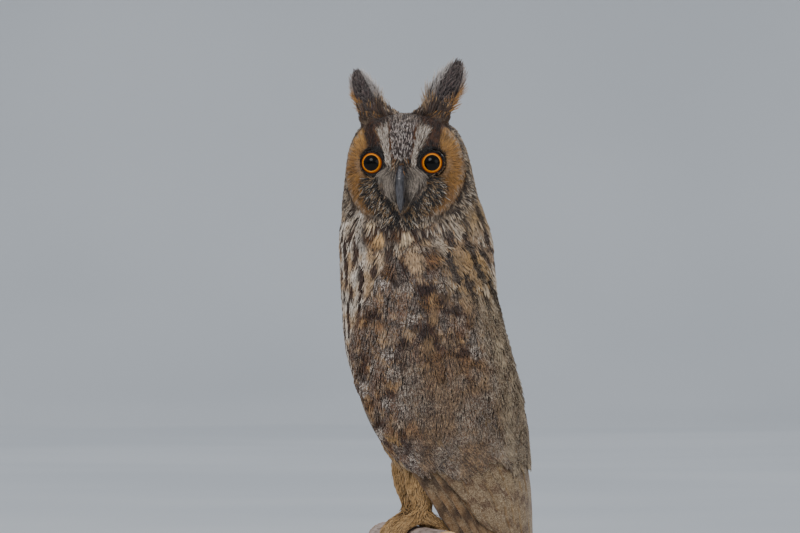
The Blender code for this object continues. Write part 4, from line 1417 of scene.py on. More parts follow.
def make_wing(side):
    """The free feathers of a folded wing, from the primaries out."""
    name = SIDE_NAMES[side]
    steps = np.linspace(0, 6, 10)
    tips = np.array(PRIMARY_TIPS)
    primaries = wing_tier(
        f"primaries_{name}", side,
        [(0.08 + 0.09 * i, 44) for i in steps],
        [(np.interp(i, range(7), tips[:, 0]), np.interp(i, range(7), tips[:, 1])) for i in steps],
        7.6, [(0.6, 1.7 + 0.1 * i) for i in steps], 0.5, primary_marks,
    )
    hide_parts(f"wing_{name}")
    steps = np.linspace(0, 5, 9)
    wing_tier(
        f"secondaries_{name}", side,
        [(0.2 + 0.13 * i, 88) for i in steps],
        [(0.37 + 0.1 * i, -4 - 6 * i) for i in steps],
        8.6, [(0.4, 2.9) for _ in steps], 0.74, secondary_marks,
    )
    steps = np.linspace(-0.3, 5.6, 12)
    wing_tier(
        f"greater_coverts_{name}", side,
        [(0.12 + 0.145 * i, 92) for i in steps],
        [(0.12 + 0.145 * i, 36 + 4 * math.sin(2.4 * i)) for i in steps],
        7.0, [(0.4, 3.5) for _ in steps], 0.7, covert_marks,
    )


COVERT_EDGE_STRANDS = 3500


def make_covert_edge(side, field):
    """Small coverts that hang over the roots of the greater ones and thin out downwards."""
    share = rng.uniform(0.03, 0.97, COVERT_EDGE_STRANDS)
    low = 46 + 16 * (streaks(share * 9, 0.5 * side, 64) - 0.5) + 8 * ramp(np.abs(share - 0.5), 0.35, 0.5)
    drop = 20 * rng.random(COVERT_EDGE_STRANDS) ** 1.4
    height = low + 16 - drop
    length = rng.uniform(8, 11.5, COVERT_EDGE_STRANDS)
    t = STRAND[:, 0]
    heights = along_strands(height, -length)
    shares = along_strands(share, rng.normal(0, 0.006, COVERT_EDGE_STRANDS))
    out = 1.4 + 2.9 * t**0.7 + rng.uniform(-0.3, 0.4, COVERT_EDGE_STRANDS)[:, None]
    path = on_wing(side, shares, heights, out, 0 * heights)
    normals = unit(on_wing(side, shares, heights, out + 1, 0 * heights) - path)
    flat = path.reshape(-1, 3)
    owner = field.owners(flat)
    s, along = field.local(flat, owner)
    tint, fleck, grain = wing_marks(flat, s, np.clip(along, -1, 1), field.chance[owner])
    shape = heights.shape
    tint = tint.reshape(*shape, 3) * rng.uniform(0.86, 1.14, (COVERT_EDGE_STRANDS, 1, 1))
    marks = (tint, fleck.reshape(*shape, 3), grain.reshape(shape))
    half = 0.7 * rng.uniform(0.8, 1.2, COVERT_EDGE_STRANDS)
    name = f"covert_edge_{SIDE_NAMES[side]}"
    strand_piece(name, path, normals, half, 0.36 + 0 * half, marks, unwrap_body(path[:, 0]))


# Tail feathers from the outermost in: offset of the tip from the middle and its height
TAIL_TIPS = ((14, -95), (11.5, -98), (9, -100), (6.6, -101), (4.2, -101), (1.8, -101))
TAIL_ROOT = 4


def tail_marks(spots, along, across, web):
    soft = speckle(spots, 5, 73)
    bars = barred(along * 8.2 + 0.02 * across, 0.45, 0.75)
    tint = mix(mix("#b0946f", GREY_BROWN, 0.4 + 0.6 * soft), "#8f8276", 0.5 * ramp(along, 0.6, 1))
    tint = mix(tint, CHOCOLATE, 0.85 * bars)
    tint = mix(tint, CHOCOLATE, 0.7 * (np.abs(web) < QUILL_SHAFT))
    return tint, mix(UMBER, DRAB, soft), 0.6 * (1 - bars)


def make_tail():
    for side in SIDES:
        tips = np.array(TAIL_TIPS, float)
        layers = np.arange(len(tips), dtype=float)[:, None, None]

        def place(along, across, high):
            h = TAIL_ROOT + (tips[:, 1, None, None] - TAIL_ROOT) * along
            l = side * tips[:, 0, None, None] * (0.45 + 0.55 * along) - side * across
            seat = -44.5 - 4 * ramp(along * 1.6, 0, 1) - 1.05 * layers - 0.15 * (side + 1)
            return bird(seat - 0.4 * high + 0.5 * across / 8, l, h)

        name = f"tail_feathers_{SIDE_NAMES[side]}"
        length = np.abs(tips[:, 1] - TAIL_ROOT)
        made = vane_piece(name, place, np.full(len(tips), 7.8), length, 0.78, tail_marks)
        if side == 1:
            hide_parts("tail")


def under_tail_marks(spots, along, across, web):
    soft = speckle(spots, 5, 74)
    tint = mix(WHITISH, CREAM, 0.3 + 0.6 * soft)
    back = ramp(-bird_parts(spots)[0], 44, 52)
    tint = mix(tint, mix("#a08c74", "#7d6b59", soft), back)
    streak = fade(np.abs(web), 0.06, 0.2) * ramp(along, 0.4, 0.8)
    return mix(tint, DRAB, 0.7 * streak), mix(tint, UMBER, 0.6 + 0 * soft), 0.5 * back


TAIL_COVERTS = 16


def make_tail_coverts():
    """Soft feathers round the root of the tail."""
    index = np.arange(TAIL_COVERTS)
    turns_round = index * 2 * math.pi / TAIL_COVERTS
    starts = np.where(index % 2, 22, 12)[:, None, None]
    ends = np.where(index % 2, -22, -36)[:, None, None]
    angle = turns_round[:, None, None]

    def place(along, across, high):
        h = starts + (ends - starts) * along
        swell = 1 - 0.45 * ramp(-h, -10, 40)
        reach_f = (9.5 + high) * swell
        reach_l = (14 + high) * (1 - 0.12 * ramp(-h, -10, 40))
        at = angle + across / 11
        return bird(-45.5 - 2.5 * ramp(-h, 0, 30) + reach_f * np.cos(at), reach_l * np.sin(at), h)

    length = np.abs(ends - starts)[:, 0, 0].astype(float)
    vane_piece("tail_coverts", place, np.full(TAIL_COVERTS, 4.6), length, 0.5, under_tail_marks)


# Ear tufts and the long hairs of the face, which stand free


def face_depth(u, v):
    """How far the face of the solids stands out of the head's axis."""
    depth = 29.5 - 18.5 * np.abs(u / DISC_HALF_WIDTH) ** 1.8
    depth = depth - np.where(v > 0, 17 * np.abs(v / 31) ** 2.3, np.abs(v / 39) ** 2.3)
    depth = depth + (3 - 7 * ramp(-v, 15, 23)) * np.exp(-((u / 6) ** 2))
    return depth - 2.2 * np.exp(-((eye_gap(u, v) / DISC_HALF_WIDTH - 0.42) ** 2) / 0.03)


def free_strands(name, u, v, w, half, high, tint, outward):
    """Strands along paths in the face frame, each N x 5. Outward is the way that their ridges face."""
    path = face(u, v, w)
    normals = unit(np.broadcast_to(outward, path.shape).astype(float))
    normals = level_with(normals, unit(np.gradient(path, axis=1)))
    marks = (tint, tint, np.zeros(u.shape))
    return strand_piece(name, path, normals, half, high, marks, unwrap_body(path[:, 0]))


FAR_OUT = 80.0


class Front:
    """What a level line from in front of the face meets first: the skin or the bill."""

    def __init__(self, ground):
        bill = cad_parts["bill_upper"].data
        faces = [list(one.vertices) for one in bill.polygons]
        self.trees = (ground.tree, BVHTree.FromPolygons(vertex_points(bill).tolist(), faces))

    def depth(self, u, v):
        """How far out of the head's axis it is met."""
        met = []
        for start in face(u, v, FAR_OUT).reshape(-1, 3).tolist():
            gaps = [tree.ray_cast(start, -FACING)[3] for tree in self.trees]
            met.append(FAR_OUT - min((gap for gap in gaps if gap), default=FAR_OUT))
        return np.maximum(np.array(met).reshape(np.shape(u)), face_depth(u, v) - 2)


TUFT_FEATHERS = 17
TUFT_BARBS = 88
TUFT_FOOT_STRANDS = 620
# An ear tuft's outline: share of its height, its reach towards the crown and its reach outwards
TUFT_OUTLINE = np.array(
    ((0, 8.5, 7), (0.17, 10.5, 10.5), (0.42, 13, 13), (0.6, 12, 12.5), (0.8, 8.6, 9.6), (1, 4.2, 4.4))
)
TUFT_TALLEST = TUFTS[1][2]


def tuft_long(side):
    """The long soft feathers of an ear tuft, gathered into a flame, each a shaft with barbs along it."""
    foot, lean, tall = TUFTS[side]
    size = tall / TUFT_TALLEST
    feather = np.repeat(np.arange(TUFT_FEATHERS), TUFT_BARBS)
    a = np.linspace(-1, 1, TUFT_FEATHERS)[feather]
    b = rng.uniform(-1, 1, TUFT_FEATHERS)[feather]
    end = 0.97 - 0.2 * a**2 - rng.uniform(0, 0.08, TUFT_FEATHERS)[feather]
    start = np.tile(np.linspace(-0.05, 1, TUFT_BARBS), TUFT_FEATHERS) * end
    edge = np.where(np.arange(len(feather)) % 2, 1.0, -1.0) * rng.uniform(0.5, 1.15, len(feather))

    def shaft(t):
        rise = np.clip(t, 0, 1)
        inner, outer = (np.interp(rise, TUFT_OUTLINE[:, 0], TUFT_OUTLINE[:, k]) for k in (1, 2))
        u = foot - 0.8 + 0.9 * lean * rise**1.2 + 0.7 * size * a * np.where(a < 0, inner, outer)
        return u, MOUND_HEIGHT - 2.5 + (tall + 2.5) * t, 3 + 3.6 * b * (1 - 0.7 * rise) - 3 * rise

    u0, v0, w0 = shaft(start)
    u1, v1, _ = shaft(start + 0.05)
    way = unit(np.stack((u1 - u0, v1 - v0), axis=-1))
    spread = edge * (0.62 - 0.26 * start) * rng.uniform(0.75, 1.25, len(start))
    cos, sin = np.cos(spread), np.sin(spread)
    turned_u, turned_v = way[:, 0] * cos + way[:, 1] * sin, way[:, 1] * cos - way[:, 0] * sin
    reach = size * (9.4 - 4.6 * start) * rng.uniform(0.6, 1.25, len(start))
    reach = reach * (1 + 0.4 * ramp(-a - 0.3 * edge, 0.5, 1.1))
    t = STRAND[:, 0]
    bend = ((turned_u - way[:, 0]) * reach)[:, None] * t**2 * -0.3
    u = along_strands(u0, turned_u * reach) + bend
    v = along_strands(v0, turned_v * reach)
    w = along_strands(w0, rng.normal(0, 0.8, len(start)))
    place = a + 0.3 * edge
    low = 0.34 * fade(start, 0.1, 0.36)
    inner, outer = ramp(-place, 0.45, 1.0), ramp(place, 0.72 - low, 1.1 - low)
    pale_inner = mix("#b59a7b", "#d9d2cd", ramp(start, 0.14, 0.34))
    pale_outer = mix("#b68b5c", "#b3a8a2", ramp(start, 0.34, 0.56))
    dark = mix("#221a1b", "#5b4d4b", rng.uniform(0, 1, len(start)) ** 1.5)
    fading = (0.4 + 0.35 * ramp(start, 0.55, 0.85))[:, None] * ramp(t, 0.5, 1.0)
    tint = mix(dark[:, None], "#8d817b", fading)
    tint = mix(tint, pale_inner[:, None], inner[:, None] * ramp(t, 0.0, 0.7))
    tint = mix(tint, pale_outer[:, None], outer[:, None] * ramp(t, -0.2, 0.6))
    speck = (start < 0.2) & (rng.random(len(start)) < 0.14)
    tint = mix(tint, "#96754f", speck[:, None] * ramp(t, 0.3, 0.8))
    half = 0.46 - 0.28 * np.maximum(np.maximum(inner, outer), ramp(start, 0.5, 1.0))
    return u, v, w, half, tint


def tuft_short(side, ground):
    """Short feathers round the foot of a tuft, which carry the line of the crown up into it."""
    foot = TUFTS[side][0]
    number = TUFT_FOOT_STRANDS
    u0 = foot + rng.uniform(-18, 9, number)
    spots, _ = ground.land(face(side * u0, 37.0, rng.uniform(-7, 9, number)))
    landed, v0, w0 = face_parts(spots)
    u0 = np.where(u0 > foot + 2, side * landed, u0)
    sunk = 0.5 + 0.8 * np.abs(side * landed - u0)
    near = ramp(u0, foot - 19, foot - 8)
    reach = (3.4 + 7.4 * near) * (1 - 0.35 * ramp(u0, foot - 4, foot + 1)) * rng.uniform(0.86, 1.08, number)
    reach = reach + 0.8 * sunk
    slant = 0.5 - 0.2 * near + rng.normal(0, 0.1, number)
    t = STRAND[:, 0]
    u = along_strands(u0, reach * np.sin(slant))
    v = along_strands(v0 - sunk, reach * np.cos(slant))
    w = along_strands(w0, rng.normal(0, 0.06, number) * reach)
    tint = mix("#2b201c", "#57453a", rng.random(number))[:, None]
    pale = mix(mix("#a3968a", "#a08060", ramp(u0, 9, 16)), "#bd9f7c", rng.random(number))
    share = 0.35 - 0.25 * ramp(u0, foot - 8, foot - 3) + 0.35 * ramp(u0, foot + 3, foot + 6)
    tip = (rng.random(number) < share)[:, None] * ramp(t, 0.55, 0.9)
    return u, v, w, np.full(number, 0.42), mix(tint, pale[:, None], tip)


def make_ear_tuft(side, ground):
    u, v, w, half, tint = (np.concatenate(pair) for pair in zip(tuft_long(side), tuft_short(side, ground)))
    name = SIDE_NAMES[side]
    made = free_strands(f"tuft_feathers_{name}", side * u, v, w, half, 0.3 + 0 * half, tint, FACING)
    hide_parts(f"ear_tuft_{name}")


HAIRS = {"lids": 260, "brows": 420, "lores": 460, "root of the bill": 90, "bristles": 2100}


def make_face_hairs(side, front):
    """Hair-like feathers that stand off the face: brows, lores over the bill and bristles."""
    t = STRAND[:, 0]
    groups = []

    def group(u, v, lift, half, base, tip):
        rise = lift[0] + (lift[1] - lift[0]) * t + lift[2] * np.sin(math.pi * t)
        tint = mix(base[:, None], tip[:, None], np.tile(ramp(t, 0.35, 0.9), (len(u), 1)))
        groups.append((u, v, front.depth(side * u, v) + rise, np.full(len(u), half), tint))

    def tones(count, low, high):
        return mix(low, high, rng.uniform(0, 1, count))

    # Round the eyes: short black hairs that close the rim of the lids
    count = HAIRS["lids"]
    angle = rng.uniform(0, 2 * math.pi, count)
    from_eye = rng.uniform(6.8, 7.4, count)
    reach = rng.uniform(1.0, 1.9, count) * (1 + 1.2 * np.maximum(np.sin(angle), 0))
    stretched = along_strands(from_eye, reach)
    turned = along_strands(angle, rng.normal(0, 0.12, count))
    tone = tones(count, "#060505", "#1d1410")
    u = EYE_SPREAD + stretched * np.cos(turned)
    group(u, stretched * np.sin(turned), (0.3, 0.7, 0.3), 0.26, tone, tone)
    # Brows: a fan of pale hairs with a few dark ones, up and out
    count = HAIRS["brows"]
    v0 = rng.uniform(-4, 18, count)
    middle, width = brow_edges(v0)
    place = rng.uniform(-1, 1, count)
    reach = rng.uniform(3.5, 6.5, count) * (0.75 + 0.25 * ramp(v0, 2, 12))
    slant = (0.2 + 0.28 * place)[:, None]
    u = (middle + place * width)[:, None] + reach[:, None] * slant * t**1.4
    highest = 24 - 0.6 * place * width + rng.normal(0, 1.3, count)
    v = along_strands(v0, np.minimum(v0 + reach, highest) - v0)
    light = rng.random((count, 1)) < 0.66
    pale = np.where(light, tones(count, "#a8998a", "#ddd4ca"), tones(count, "#3c312b", "#6f6054"))
    group(u, v, (0.8, 2.0, 0.5), 0.2, pale * 0.75, pale)
    # Lores: from the root of the bill, out along the fan and back in to its point
    count = HAIRS["lores"]
    u = [rng.uniform(2.6, 9.6, count)]
    v = [rng.uniform(-15, -1, count)]
    reach = rng.uniform(5, 11, count)
    for k in range(1, STATIONS):
        step = reach * (t[k] - t[k - 1])
        widen = (lores_half(v[-1] - 1) - lores_half(v[-1] + 1)) / 2
        u.append(u[-1] + step * (widen * u[-1] / np.maximum(lores_half(v[-1]), 2) + 0.05))
        v.append(v[-1] - step)
    u, v = np.stack(u, axis=1), np.stack(v, axis=1)
    tone = tones(count, "#3f3631", "#b3a79a")
    # Painted shade along the bill: most of the hairs nearest it are darkened
    tone = mix(tone, "#332b27", 0.85 * fade(u[:, 0], 2.6, 6.5) * (rng.random(count) < 0.8))
    group(u, v, (0.7, 1.2, 0.8), 0.2, tone * 0.75, tone)
    # Over the root of the bill, parted so that its ridge shows
    count = HAIRS["root of the bill"]
    u0 = rng.uniform(0.8, 5.5, count)
    v0 = rng.uniform(-3.5, 3.5, count)
    reach = rng.uniform(3.5, 6.5, count)
    u = along_strands(u0, reach * rng.uniform(0.25, 0.6, count))
    v = along_strands(v0, -reach)
    pale = np.where(rng.random((count, 1)) < 0.4, linear("#9a6a3a"), tones(count, "#a08d78", "#cdbfae"))
    tone = np.where(rng.random((count, 1)) < 0.66, tones(count, "#1d1512", "#46362c"), pale)
    group(u, v, (0.5, 1.0, 0.6), 0.22, tone * 0.7, tone)
    # Bristles: long and black, some with pale tips, out and down from the edge of the lores
    count = HAIRS["bristles"]
    u0, v0 = rng.uniform(1, 29, count), rng.uniform(-37, -8, count)
    edge = from_lores(u0, v0)
    along_edge = (edge < 0) & (edge > -2) & (v0 < -9) & (v0 > -26)
    kept = (in_bristles(u0, v0, rng.uniform(0, 5, count)) > 0.4) | along_edge
    u0, v0 = u0[kept], v0[kept]
    count = len(u0)
    out_u = from_lores(u0 + 0.3, v0) - from_lores(u0 - 0.3, v0)
    out_v = from_lores(u0, v0 + 0.3) - from_lores(u0, v0 - 0.3)
    angle = np.arctan2(out_v - 0.45, out_u + 0.15) + rng.normal(0, 0.16, count)
    reach = rng.uniform(4.5, 9, count)[:, None]
    bend = rng.normal(0, 0.18, count)[:, None] * t
    u = u0[:, None] + reach * t * np.cos(angle[:, None] + bend)
    v = v0[:, None] + reach * t * np.sin(angle[:, None] + bend)
    base = tones(count, "#070505", "#1d130f")
    tip = np.where(rng.random((count, 1)) < 0.34, tones(count, "#8a6b4c", "#c2a685"), base)
    tip = np.where(rng.random((count, 1)) < 0.1, tones(count, "#c9bba8", "#e8dfd3"), tip)
    group(u, v, (0.8, 1.8, 0.6), 0.24, base, tip)
    u, v, w, half, tint = (np.concatenate([one[i] for one in groups]) for i in range(5))
    free_strands(f"face_hairs_{SIDE_NAMES[side]}", side * u, v, w, half, half, tint, FACING)


front = Front(ground)
for side in SIDES:
    make_wing(side)
    make_covert_edge(side, field)
    make_ear_tuft(side, ground)
    make_face_hairs(side, front)
make_tail()
make_tail_coverts()


# Eyes, bill and claws


def eye_frame(side):
    """The middle of an eye in mm and the way that it looks."""
    seat = float(face_depth(EYE_SPREAD, 0)) - math.sqrt(EYE_RADIUS**2 - EYE_OPENING**2) + 0.4
    return face(side * EYE_SPREAD, 0, seat), forward(HEAD_YAW - side * EYE_YAW)


# Rings of the eye by their radius as seen from in front
PUPIL_RADIUS = 4.95
IRIS_RADIUS = 6.3


def eye_ring(radius):
    """The latitude of a ring of this radius on the eyeball, 1 at the middle of the pupil."""
    return 1 - math.asin(radius / EYE_RADIUS) / math.pi


def eye_finish():
    """Glass eye, as mounts have: an orange iris with fine fibres under a polished clear front."""
    settings = {"Roughness": 0.6, "Specular IOR Level": 0.0, "Coat Weight": 1.0, "Coat Roughness": 0.03}
    made, tree, shader = finish_named("polished_glass_eye", settings | {"Coat IOR": 1.24})
    ball = put(tree, "UVMap", {"uv_map": "UVMap"}).outputs["UV"]
    ring = put(tree, "SeparateXYZ", {}, {"Vector": ball}).outputs["Y"]
    spokes = put(tree, "Mapping", {"Scale": (150, 14, 1)}, {"Vector": ball}).outputs["Vector"]
    fibres = put(tree, "TexNoise", {"Scale": 1, "Detail": 2}, {"Vector": spokes}).outputs["Fac"]
    pupil, rim = eye_ring(PUPIL_RADIUS), eye_ring(IRIS_RADIUS)
    depth = between(tree, ring, rim, pupil)
    iris = blended(tree, depth, "#93400a", "#e38f1c")
    iris = blended(tree, between(tree, fibres, 0.35, 0.65, 0.0, 0.35), iris, "#7a2f08")
    dark = "#020202"
    colour = blended(tree, between(tree, ring, pupil - 0.003, pupil + 0.004), iris, dark)
    colour = blended(tree, between(tree, ring, rim - 0.006, rim + 0.002), "#120b08", colour)
    tree.links.new(colour, shader.inputs["Base Color"])
    return made


def lid_finish():
    """Bare eyelid: black, finely wrinkled skin with a slight moist shine."""
    made, tree, shader = finish_named("bare_lid_skin", {"Roughness": 0.6, "Specular IOR Level": 0.2})
    folds = grains(tree, own_coords(tree), 0.35)
    coloured(tree, shader, blended(tree, folds, "#080606", "#1c1513"), folds, 0.12, 0.6)
    return made


CORNEA_RISE = 0.7
LID_THICK = 0.85


def make_eye(side, glass, lid_skin):
    name = SIDE_NAMES[side]
    centre, look = eye_frame(side)
    turned = Vector(look).to_track_quat("Z", "Y").to_euler()
    eye = added(
        bpy.ops.mesh.primitive_uv_sphere_add, f"eyeball_{name}", segments=64, ring_count=48,
        radius=EYE_RADIUS * MM, location=Vector(centre) * MM, rotation=turned,
    )
    bpy.ops.object.transform_apply()
    points = vertex_points(eye.data)
    beside = points - centre
    ahead = beside @ look
    radius = np.linalg.norm(beside - ahead[:, None] * look, axis=-1)
    bulge = CORNEA_RISE * fade(radius, 1.5, IRIS_RADIUS + 0.6) * (ahead > 0)
    move_points(eye.data, points + bulge[:, None] * look)
    eye.data.shade_smooth()
    eye.data.materials.append(glass)
    placed(eye, "eye", f"eye_{name}")

    reach = math.sqrt(EYE_RADIUS**2 - EYE_OPENING**2)
    lid = added(
        bpy.ops.mesh.primitive_torus_add, f"eyelid_{name}", major_segments=72, minor_segments=16,
        major_radius=(EYE_OPENING + 0.4) * MM, minor_radius=LID_THICK * MM,
        location=Vector(centre + look * (reach - 0.35)) * MM, rotation=turned,
    )
    bpy.ops.object.transform_apply()
    points = vertex_points(lid.data)
    u, v, _ = face_parts(points)
    beside_u = np.abs(u) - EYE_SPREAD
    # The upper lid hangs a little over the eye, most at its inner side, as a frown
    drop = ramp(v, 1, 6) * (0.35 + 0.5 * ramp(-beside_u, -3, 4))
    crease = 0.12 * np.sin(np.arctan2(v, beside_u) * 26)
    sunk = 0.5 * np.maximum(np.hypot(beside_u, v) - EYE_OPENING - 0.4, 0)
    points = points - UP * drop[:, None] + look * (crease + 0.5 * drop - sunk)[:, None]
    move_points(lid.data, points)
    lid.data.shade_smooth()
    lid.data.materials.append(lid_skin)
    placed(lid, "horn")


def horn_finish(name, dark, light, roughness):
    """Horn: keratin grown in fine lines, smooth and slightly glossy, paler where it is thick and rubbed."""
    settings = {"Roughness": roughness, "Coat Weight": 0.25, "Coat Roughness": 0.2}
    made, tree, shader = finish_named(name, settings)
    coords = own_coords(tree)
    lines = grains(tree, coords, 0.6, stretch=(1, 1, 7))
    cloud = grains(tree, coords, 4)
    tone = maths(tree, "MULTIPLY", between(tree, lines, 0.3, 0.7), between(tree, cloud, 0.2, 0.8, 0.4, 1.0))
    coloured(tree, shader, blended(tree, tone, dark, light), lines, 0.05, 0.5)
    return made


def refined(node, name, voxel, rounds, material, slot):
    """A smooth, closely meshed piece in the shape of a CAD node, which it replaces."""
    made = merged_copy(node, name)
    made.data.materials.clear()
    made.data.materials.append(material)
    return placed(remeshed(made, voxel, rounds), slot, node)


def make_horn():
    slate = horn_finish("slate_bill_horn", "#161518", "#4f4c51", 0.34)
    black = horn_finish("black_claw_horn", "#0b0a0a", "#2a2624", 0.25)
    refined("bill_upper", "upper_bill", 0.3, 5, slate, "horn")
    refined("bill_lower", "lower_bill", 0.3, 3, slate, "horn")
    for node in sorted(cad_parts):
        if node.startswith("claw_"):
            refined(node, node.replace("claw", "talon"), 0.28, 4, black, "horn")


glass = eye_finish()
lid_skin = lid_finish()
for side in SIDES:
    make_eye(side, glass, lid_skin)
make_horn()


# Perch and stand

PERCH_RADIUS = 13
PERCH_HALF = 75
ROD_SPREAD = 52
ROD_RADIUS = 3
RING_GAP = 1.7


def bark_finish():
    """Bark of a thin branch: smooth grey with a pinkish cast, lengthwise cracks, pores and pale cut ends."""
    made, tree, shader = finish_named("smooth_grey_bark", {"Roughness": 0.85, "Specular IOR Level": 0.2})
    coords = own_coords(tree)
    turn = put(tree, "Mapping", {"Rotation": (0, 0, BODY_YAW)}, {"Vector": coords}).outputs["Vector"]
    cloud = grains(tree, turn, 9)
    cracks = grains(tree, turn, 1.6, detail=4, distortion=0.6, stretch=(7, 1, 1))
    pores = grains(tree, turn, 1.3, stretch=(1, 1.8, 1.8))
    colour = blended(tree, between(tree, cloud, 0.3, 0.7), "#8f7d74", "#ab9a90")
    colour = blended(tree, between(tree, cracks, 0.52, 0.66, 0.0, 0.8), colour, "#5b4c43")
    colour = blended(tree, between(tree, pores, 0.68, 0.74, 0.0, 0.7), colour, "#c4b3a4")
    wood = attribute(tree, "cut", "Fac")
    turns = maths(tree, "MULTIPLY", attribute(tree, "ring", "Fac"), 2 * math.pi / RING_GAP)
    rings = maths(tree, "SINE", turns, 0.0)
    grown = blended(tree, between(tree, rings, -0.6, 0.9), "#c7a67a", "#a9825a")
    height = maths(tree, "SUBTRACT", cloud, cracks)
    coloured(tree, shader, blended(tree, wood, colour, grown), height, 0.6, 0.8)
    return made


def make_perch():
    perch = refined("perch", "branch", 0.9, 3, bark_finish(), "bark")
    points = vertex_points(perch.data)
    f, l, h = bird_parts(points)
    radius = np.hypot(f - PERCH_FORWARD, h + PERCH_RADIUS)
    out = unit(point_from(f - PERCH_FORWARD, 0 * l, h + PERCH_RADIUS, (AHEAD, ABEAM, UP)))
    cut = ramp(np.abs(l), PERCH_HALF - 1.0, PERCH_HALF - 0.4)
    lengthwise = points - ABEAM * (l * 0.82)[:, None]
    rough = -0.75 * speckle(lengthwise, 3.2, 91) - 0.4 * speckle(points, 1.4, 92)
    move_points(perch.data, points + out * (rough * (1 - cut) * ramp(radius, 6, 11))[:, None])
    paint(perch.data, {"cut": cut[:, None], "ring": (radius + 0.5 * speckle(points, 5, 93))[:, None]})


def base_finish():
    """Stained oak, planed and sealed: dark brown with straight grain, open pores and a satin coat."""
    settings = {"Roughness": 0.38, "Coat Weight": 0.3, "Coat Roughness": 0.25}
    made, tree, shader = finish_named("satin_stained_oak", settings)
    coords = own_coords(tree)
    grain = grains(tree, coords, 2.4, detail=4, distortion=0.4, stretch=(22, 1, 3))
    band = grains(tree, coords, 9, distortion=0.8, stretch=(12, 1, 3))
    colour = blended(tree, between(tree, band, 0.3, 0.7), "#35231a", "#5a3d2b")
    colour = blended(tree, between(tree, grain, 0.55, 0.68, 0.0, 0.75), colour, "#1c120d")
    coloured(tree, shader, colour, grain, -0.12, 0.6)
    return made


def steel_finish():
    """Brushed stainless steel: fine scratches round the rod that spread its shine."""
    made, tree, shader = finish_named("brushed_steel", {"Metallic": 1.0, "Roughness": 0.3})
    lines = grains(tree, own_coords(tree), 0.5, stretch=(20, 20, 1))
    tree.links.new(between(tree, lines, 0.3, 0.7, 0.24, 0.42), shader.inputs["Roughness"])
    coloured(tree, shader, blended(tree, lines, "#8d9094", "#c3c5c8"), lines, 0.02, 0.4)
    return made


def raise_rings(profile, scale):
    """Extrudes the open rim of the mesh along an outline of radius and height."""
    bpy.ops.mesh.select_all(action="DESELECT")
    bpy.ops.mesh.select_mode(type="EDGE")
    bpy.ops.mesh.select_non_manifold()
    for (before, below), (radius, height) in zip(profile, profile[1:]):
        bpy.ops.mesh.extrude_region_move()
        size = radius / before
        bpy.ops.transform.resize(value=(size, size, 1), center_override=(0, 0, 0))
        bpy.ops.transform.translate(value=(0, 0, (height - below) * scale))


def machined(made, bevel, segments, material, slot, *nodes):
    """Breaks the sharp edges of a piece of the stand, and dresses it."""
    modified(made, "BEVEL", width=bevel * MM, segments=segments)
    with editing():
        bpy.ops.mesh.normals_make_consistent(inside=False)
    bpy.ops.object.shade_smooth_by_angle(angle=math.radians(35))
    made.data.materials.append(material)
    return placed(made, slot, *nodes)


def lathe(name, profile, middle, material, slot, *nodes):
    """A turned piece: the outline of its profile, radius and height in mm, spun round an upright axis."""
    radius, height = profile[0]
    circle = bpy.ops.mesh.primitive_circle_add
    made = added(circle, name, vertices=128, radius=radius * MM, location=(0, 0, 0), fill_type="NOTHING")
    with editing():
        bpy.ops.transform.translate(value=(0, 0, height * MM))
        bpy.ops.mesh.edge_face_add()
        raise_rings(profile, MM)
        bpy.ops.mesh.edge_face_add()
        bpy.ops.mesh.select_all(action="SELECT")
        bpy.ops.mesh.normals_make_consistent(inside=False)
    made.location = Vector(middle) * MM
    bpy.ops.object.transform_apply()
    return machined(made, 0.35, 3, material, slot, *nodes)


# The base's turned outline: radius and height
BASE_PROFILE = (
    (89.6, 0.0), (90.6, 0.5), (91.6, 2.0), (91.9, 4.0), (91.5, 5.6), (90.2, 6.8), (88.6, 7.4), (88.4, 8.6),
    (87.4, 10.2), (85.6, 11.3), (83.2, 11.9), (81.6, 12.0), (80.8, 11.4), (79.4, 11.4), (78.6, 12.0),
)
FLANGE_PROFILE = ((7.5, 12.0), (7.5, 13.2), (6.9, 13.8), (4.6, 14.1), (3.9, 15.2), (3.4, 15.4))


def make_stand():
    lathe("display_base", BASE_PROFILE, (0, 0, 0), base_finish(), "base_wood", "stand_base")
    steel = steel_finish()
    for side in SIDES:
        name = SIDE_NAMES[side]
        foot = bird(PERCH_FORWARD, side * ROD_SPREAD, -PERCH_TOP)
        middle = (foot[0], foot[1], 0)
        lathe(f"rod_flange_{name}", FLANGE_PROFILE, middle, steel, "rod_steel")
        top = PERCH_TOP - 1.75 * PERCH_RADIUS
        head = ROD_RADIUS + 0.8
        rod = ((ROD_RADIUS, 12.3), (ROD_RADIUS, top - 8), (head, top - 7), (head, top))
        lathe(f"steel_rod_{name}", rod, middle, steel, "rod_steel", f"stand_rod_{name}")
        make_cradle(name, side, steel)


CRADLE_ARC = math.radians(50)
CRADLE_HALF = 5
CRADLE_THICK = 1.1


def make_cradle(name, side, steel):
    """A thin curved plate on the rod that the branch lies in."""
    grid = bpy.ops.mesh.primitive_grid_add
    made = added(grid, f"cradle_{name}", x_subdivisions=24, y_subdivisions=6, size=1, location=(0, 0, 0))
    flat = vertex_points(made.data) * MM
    angle = flat[:, 0] * 2 * CRADLE_ARC
    radius = PERCH_RADIUS + 0.2 + CRADLE_THICK
    l = side * ROD_SPREAD + flat[:, 1] * 2 * CRADLE_HALF
    f = PERCH_FORWARD + radius * np.sin(angle)
    move_points(made.data, bird(f, l, -PERCH_RADIUS - radius * np.cos(angle)))
    modified(made, "SOLIDIFY", thickness=CRADLE_THICK * MM, offset=1)
    machined(made, 0.25, 2, steel, "rod_steel")


make_perch()
make_stand()


# Floor, light and camera

MM_PER_PIXEL = 0.62
AXIS_PIXEL = 430
PERCH_PIXEL = 525
PHOTO_SIZE = (800, 533)
LENS = 300
SENSOR = 36


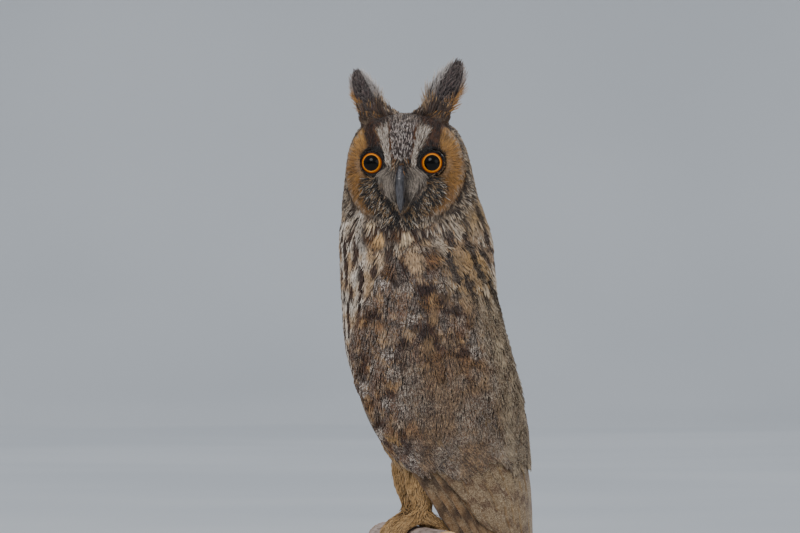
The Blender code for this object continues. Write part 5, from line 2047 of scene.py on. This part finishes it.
def make_camera():
    """Level, from in front of the face, with the photo's framing."""
    width = PHOTO_SIZE[0] * MM_PER_PIXEL * MM
    data = bpy.data.cameras.new("camera")
    data.lens = LENS
    data.sensor_width = SENSOR
    made = bpy.data.objects.new("camera", data)
    bpy.context.scene.collection.objects.link(made)
    x = (PHOTO_SIZE[0] / 2 - AXIS_PIXEL) * MM_PER_PIXEL * MM
    z = (PERCH_TOP + (PERCH_PIXEL - PHOTO_SIZE[1] / 2) * MM_PER_PIXEL) * MM
    made.location = (x, -width * LENS / SENSOR, z)
    made.rotation_euler = (math.pi / 2, 0, 0)
    bpy.context.scene.camera = made


# The floor and the low wall round it: radius and height in metres
STAGE_PROFILE = ((8.4, 0.0), (8.8, 0.06), (9.1, 0.24), (9.3, 0.55), (9.4, 0.95), (9.43, 1.5), (9.43, 2.2))


def make_stage():
    """A round pale floor that curves up all the way round, so that it is behind the object from any side."""
    circle = bpy.ops.mesh.primitive_circle_add
    radius = STAGE_PROFILE[0][0]
    sweep = added(circle, "sweep", vertices=160, radius=radius, location=(0, 0, 0), fill_type="NGON")
    with editing():
        raise_rings(STAGE_PROFILE, 1)
        # The face that was carried up would be a lid over the stage
        bpy.ops.mesh.delete(type="ONLY_FACE")
    sweep.data.shade_smooth()
    settings = {"Roughness": 0.85, "Specular IOR Level": 0.2}
    paper, tree, shader = finish_named("pale_paper_sweep", settings)
    tone = between(tree, grains(tree, own_coords(tree), 900), 0.3, 0.7)
    tree.links.new(blended(tree, tone, "#d9dbdd", "#e2e3e4"), shader.inputs["Base Color"])
    sweep.data.materials.append(paper)


def add_lamp(name, place, aim, size, watts, colour):
    data = bpy.data.lights.new(name, "AREA")
    data.shape = "DISK"
    data.size = size
    data.energy = watts
    data.color = colour
    made = bpy.data.objects.new(name, data)
    made.location = place
    made.rotation_euler = (Vector(aim) - Vector(place)).to_track_quat("-Z", "Y").to_euler()
    bpy.context.scene.collection.objects.link(made)


def make_light():
    world = bpy.data.worlds.new("soft_sky")
    world.use_nodes = True
    background = world.node_tree.nodes["Background"]
    background.inputs["Color"].default_value = (0.86, 0.92, 1.0, 1)
    background.inputs["Strength"].default_value = 0.74
    bpy.context.scene.world = world
    owl = (0, 0, 0.3)
    add_lamp("key", (-0.9, -2.0, 1.9), owl, 1.5, 42, (1.0, 0.97, 0.93))
    add_lamp("fill", (1.7, -1.6, 0.9), owl, 1.6, 10, (0.95, 0.97, 1.0))
    add_lamp("back", (0.9, 1.3, 1.5), owl, 1.2, 26, (1.0, 1.0, 1.0))


make_camera()
make_stage()
make_light()
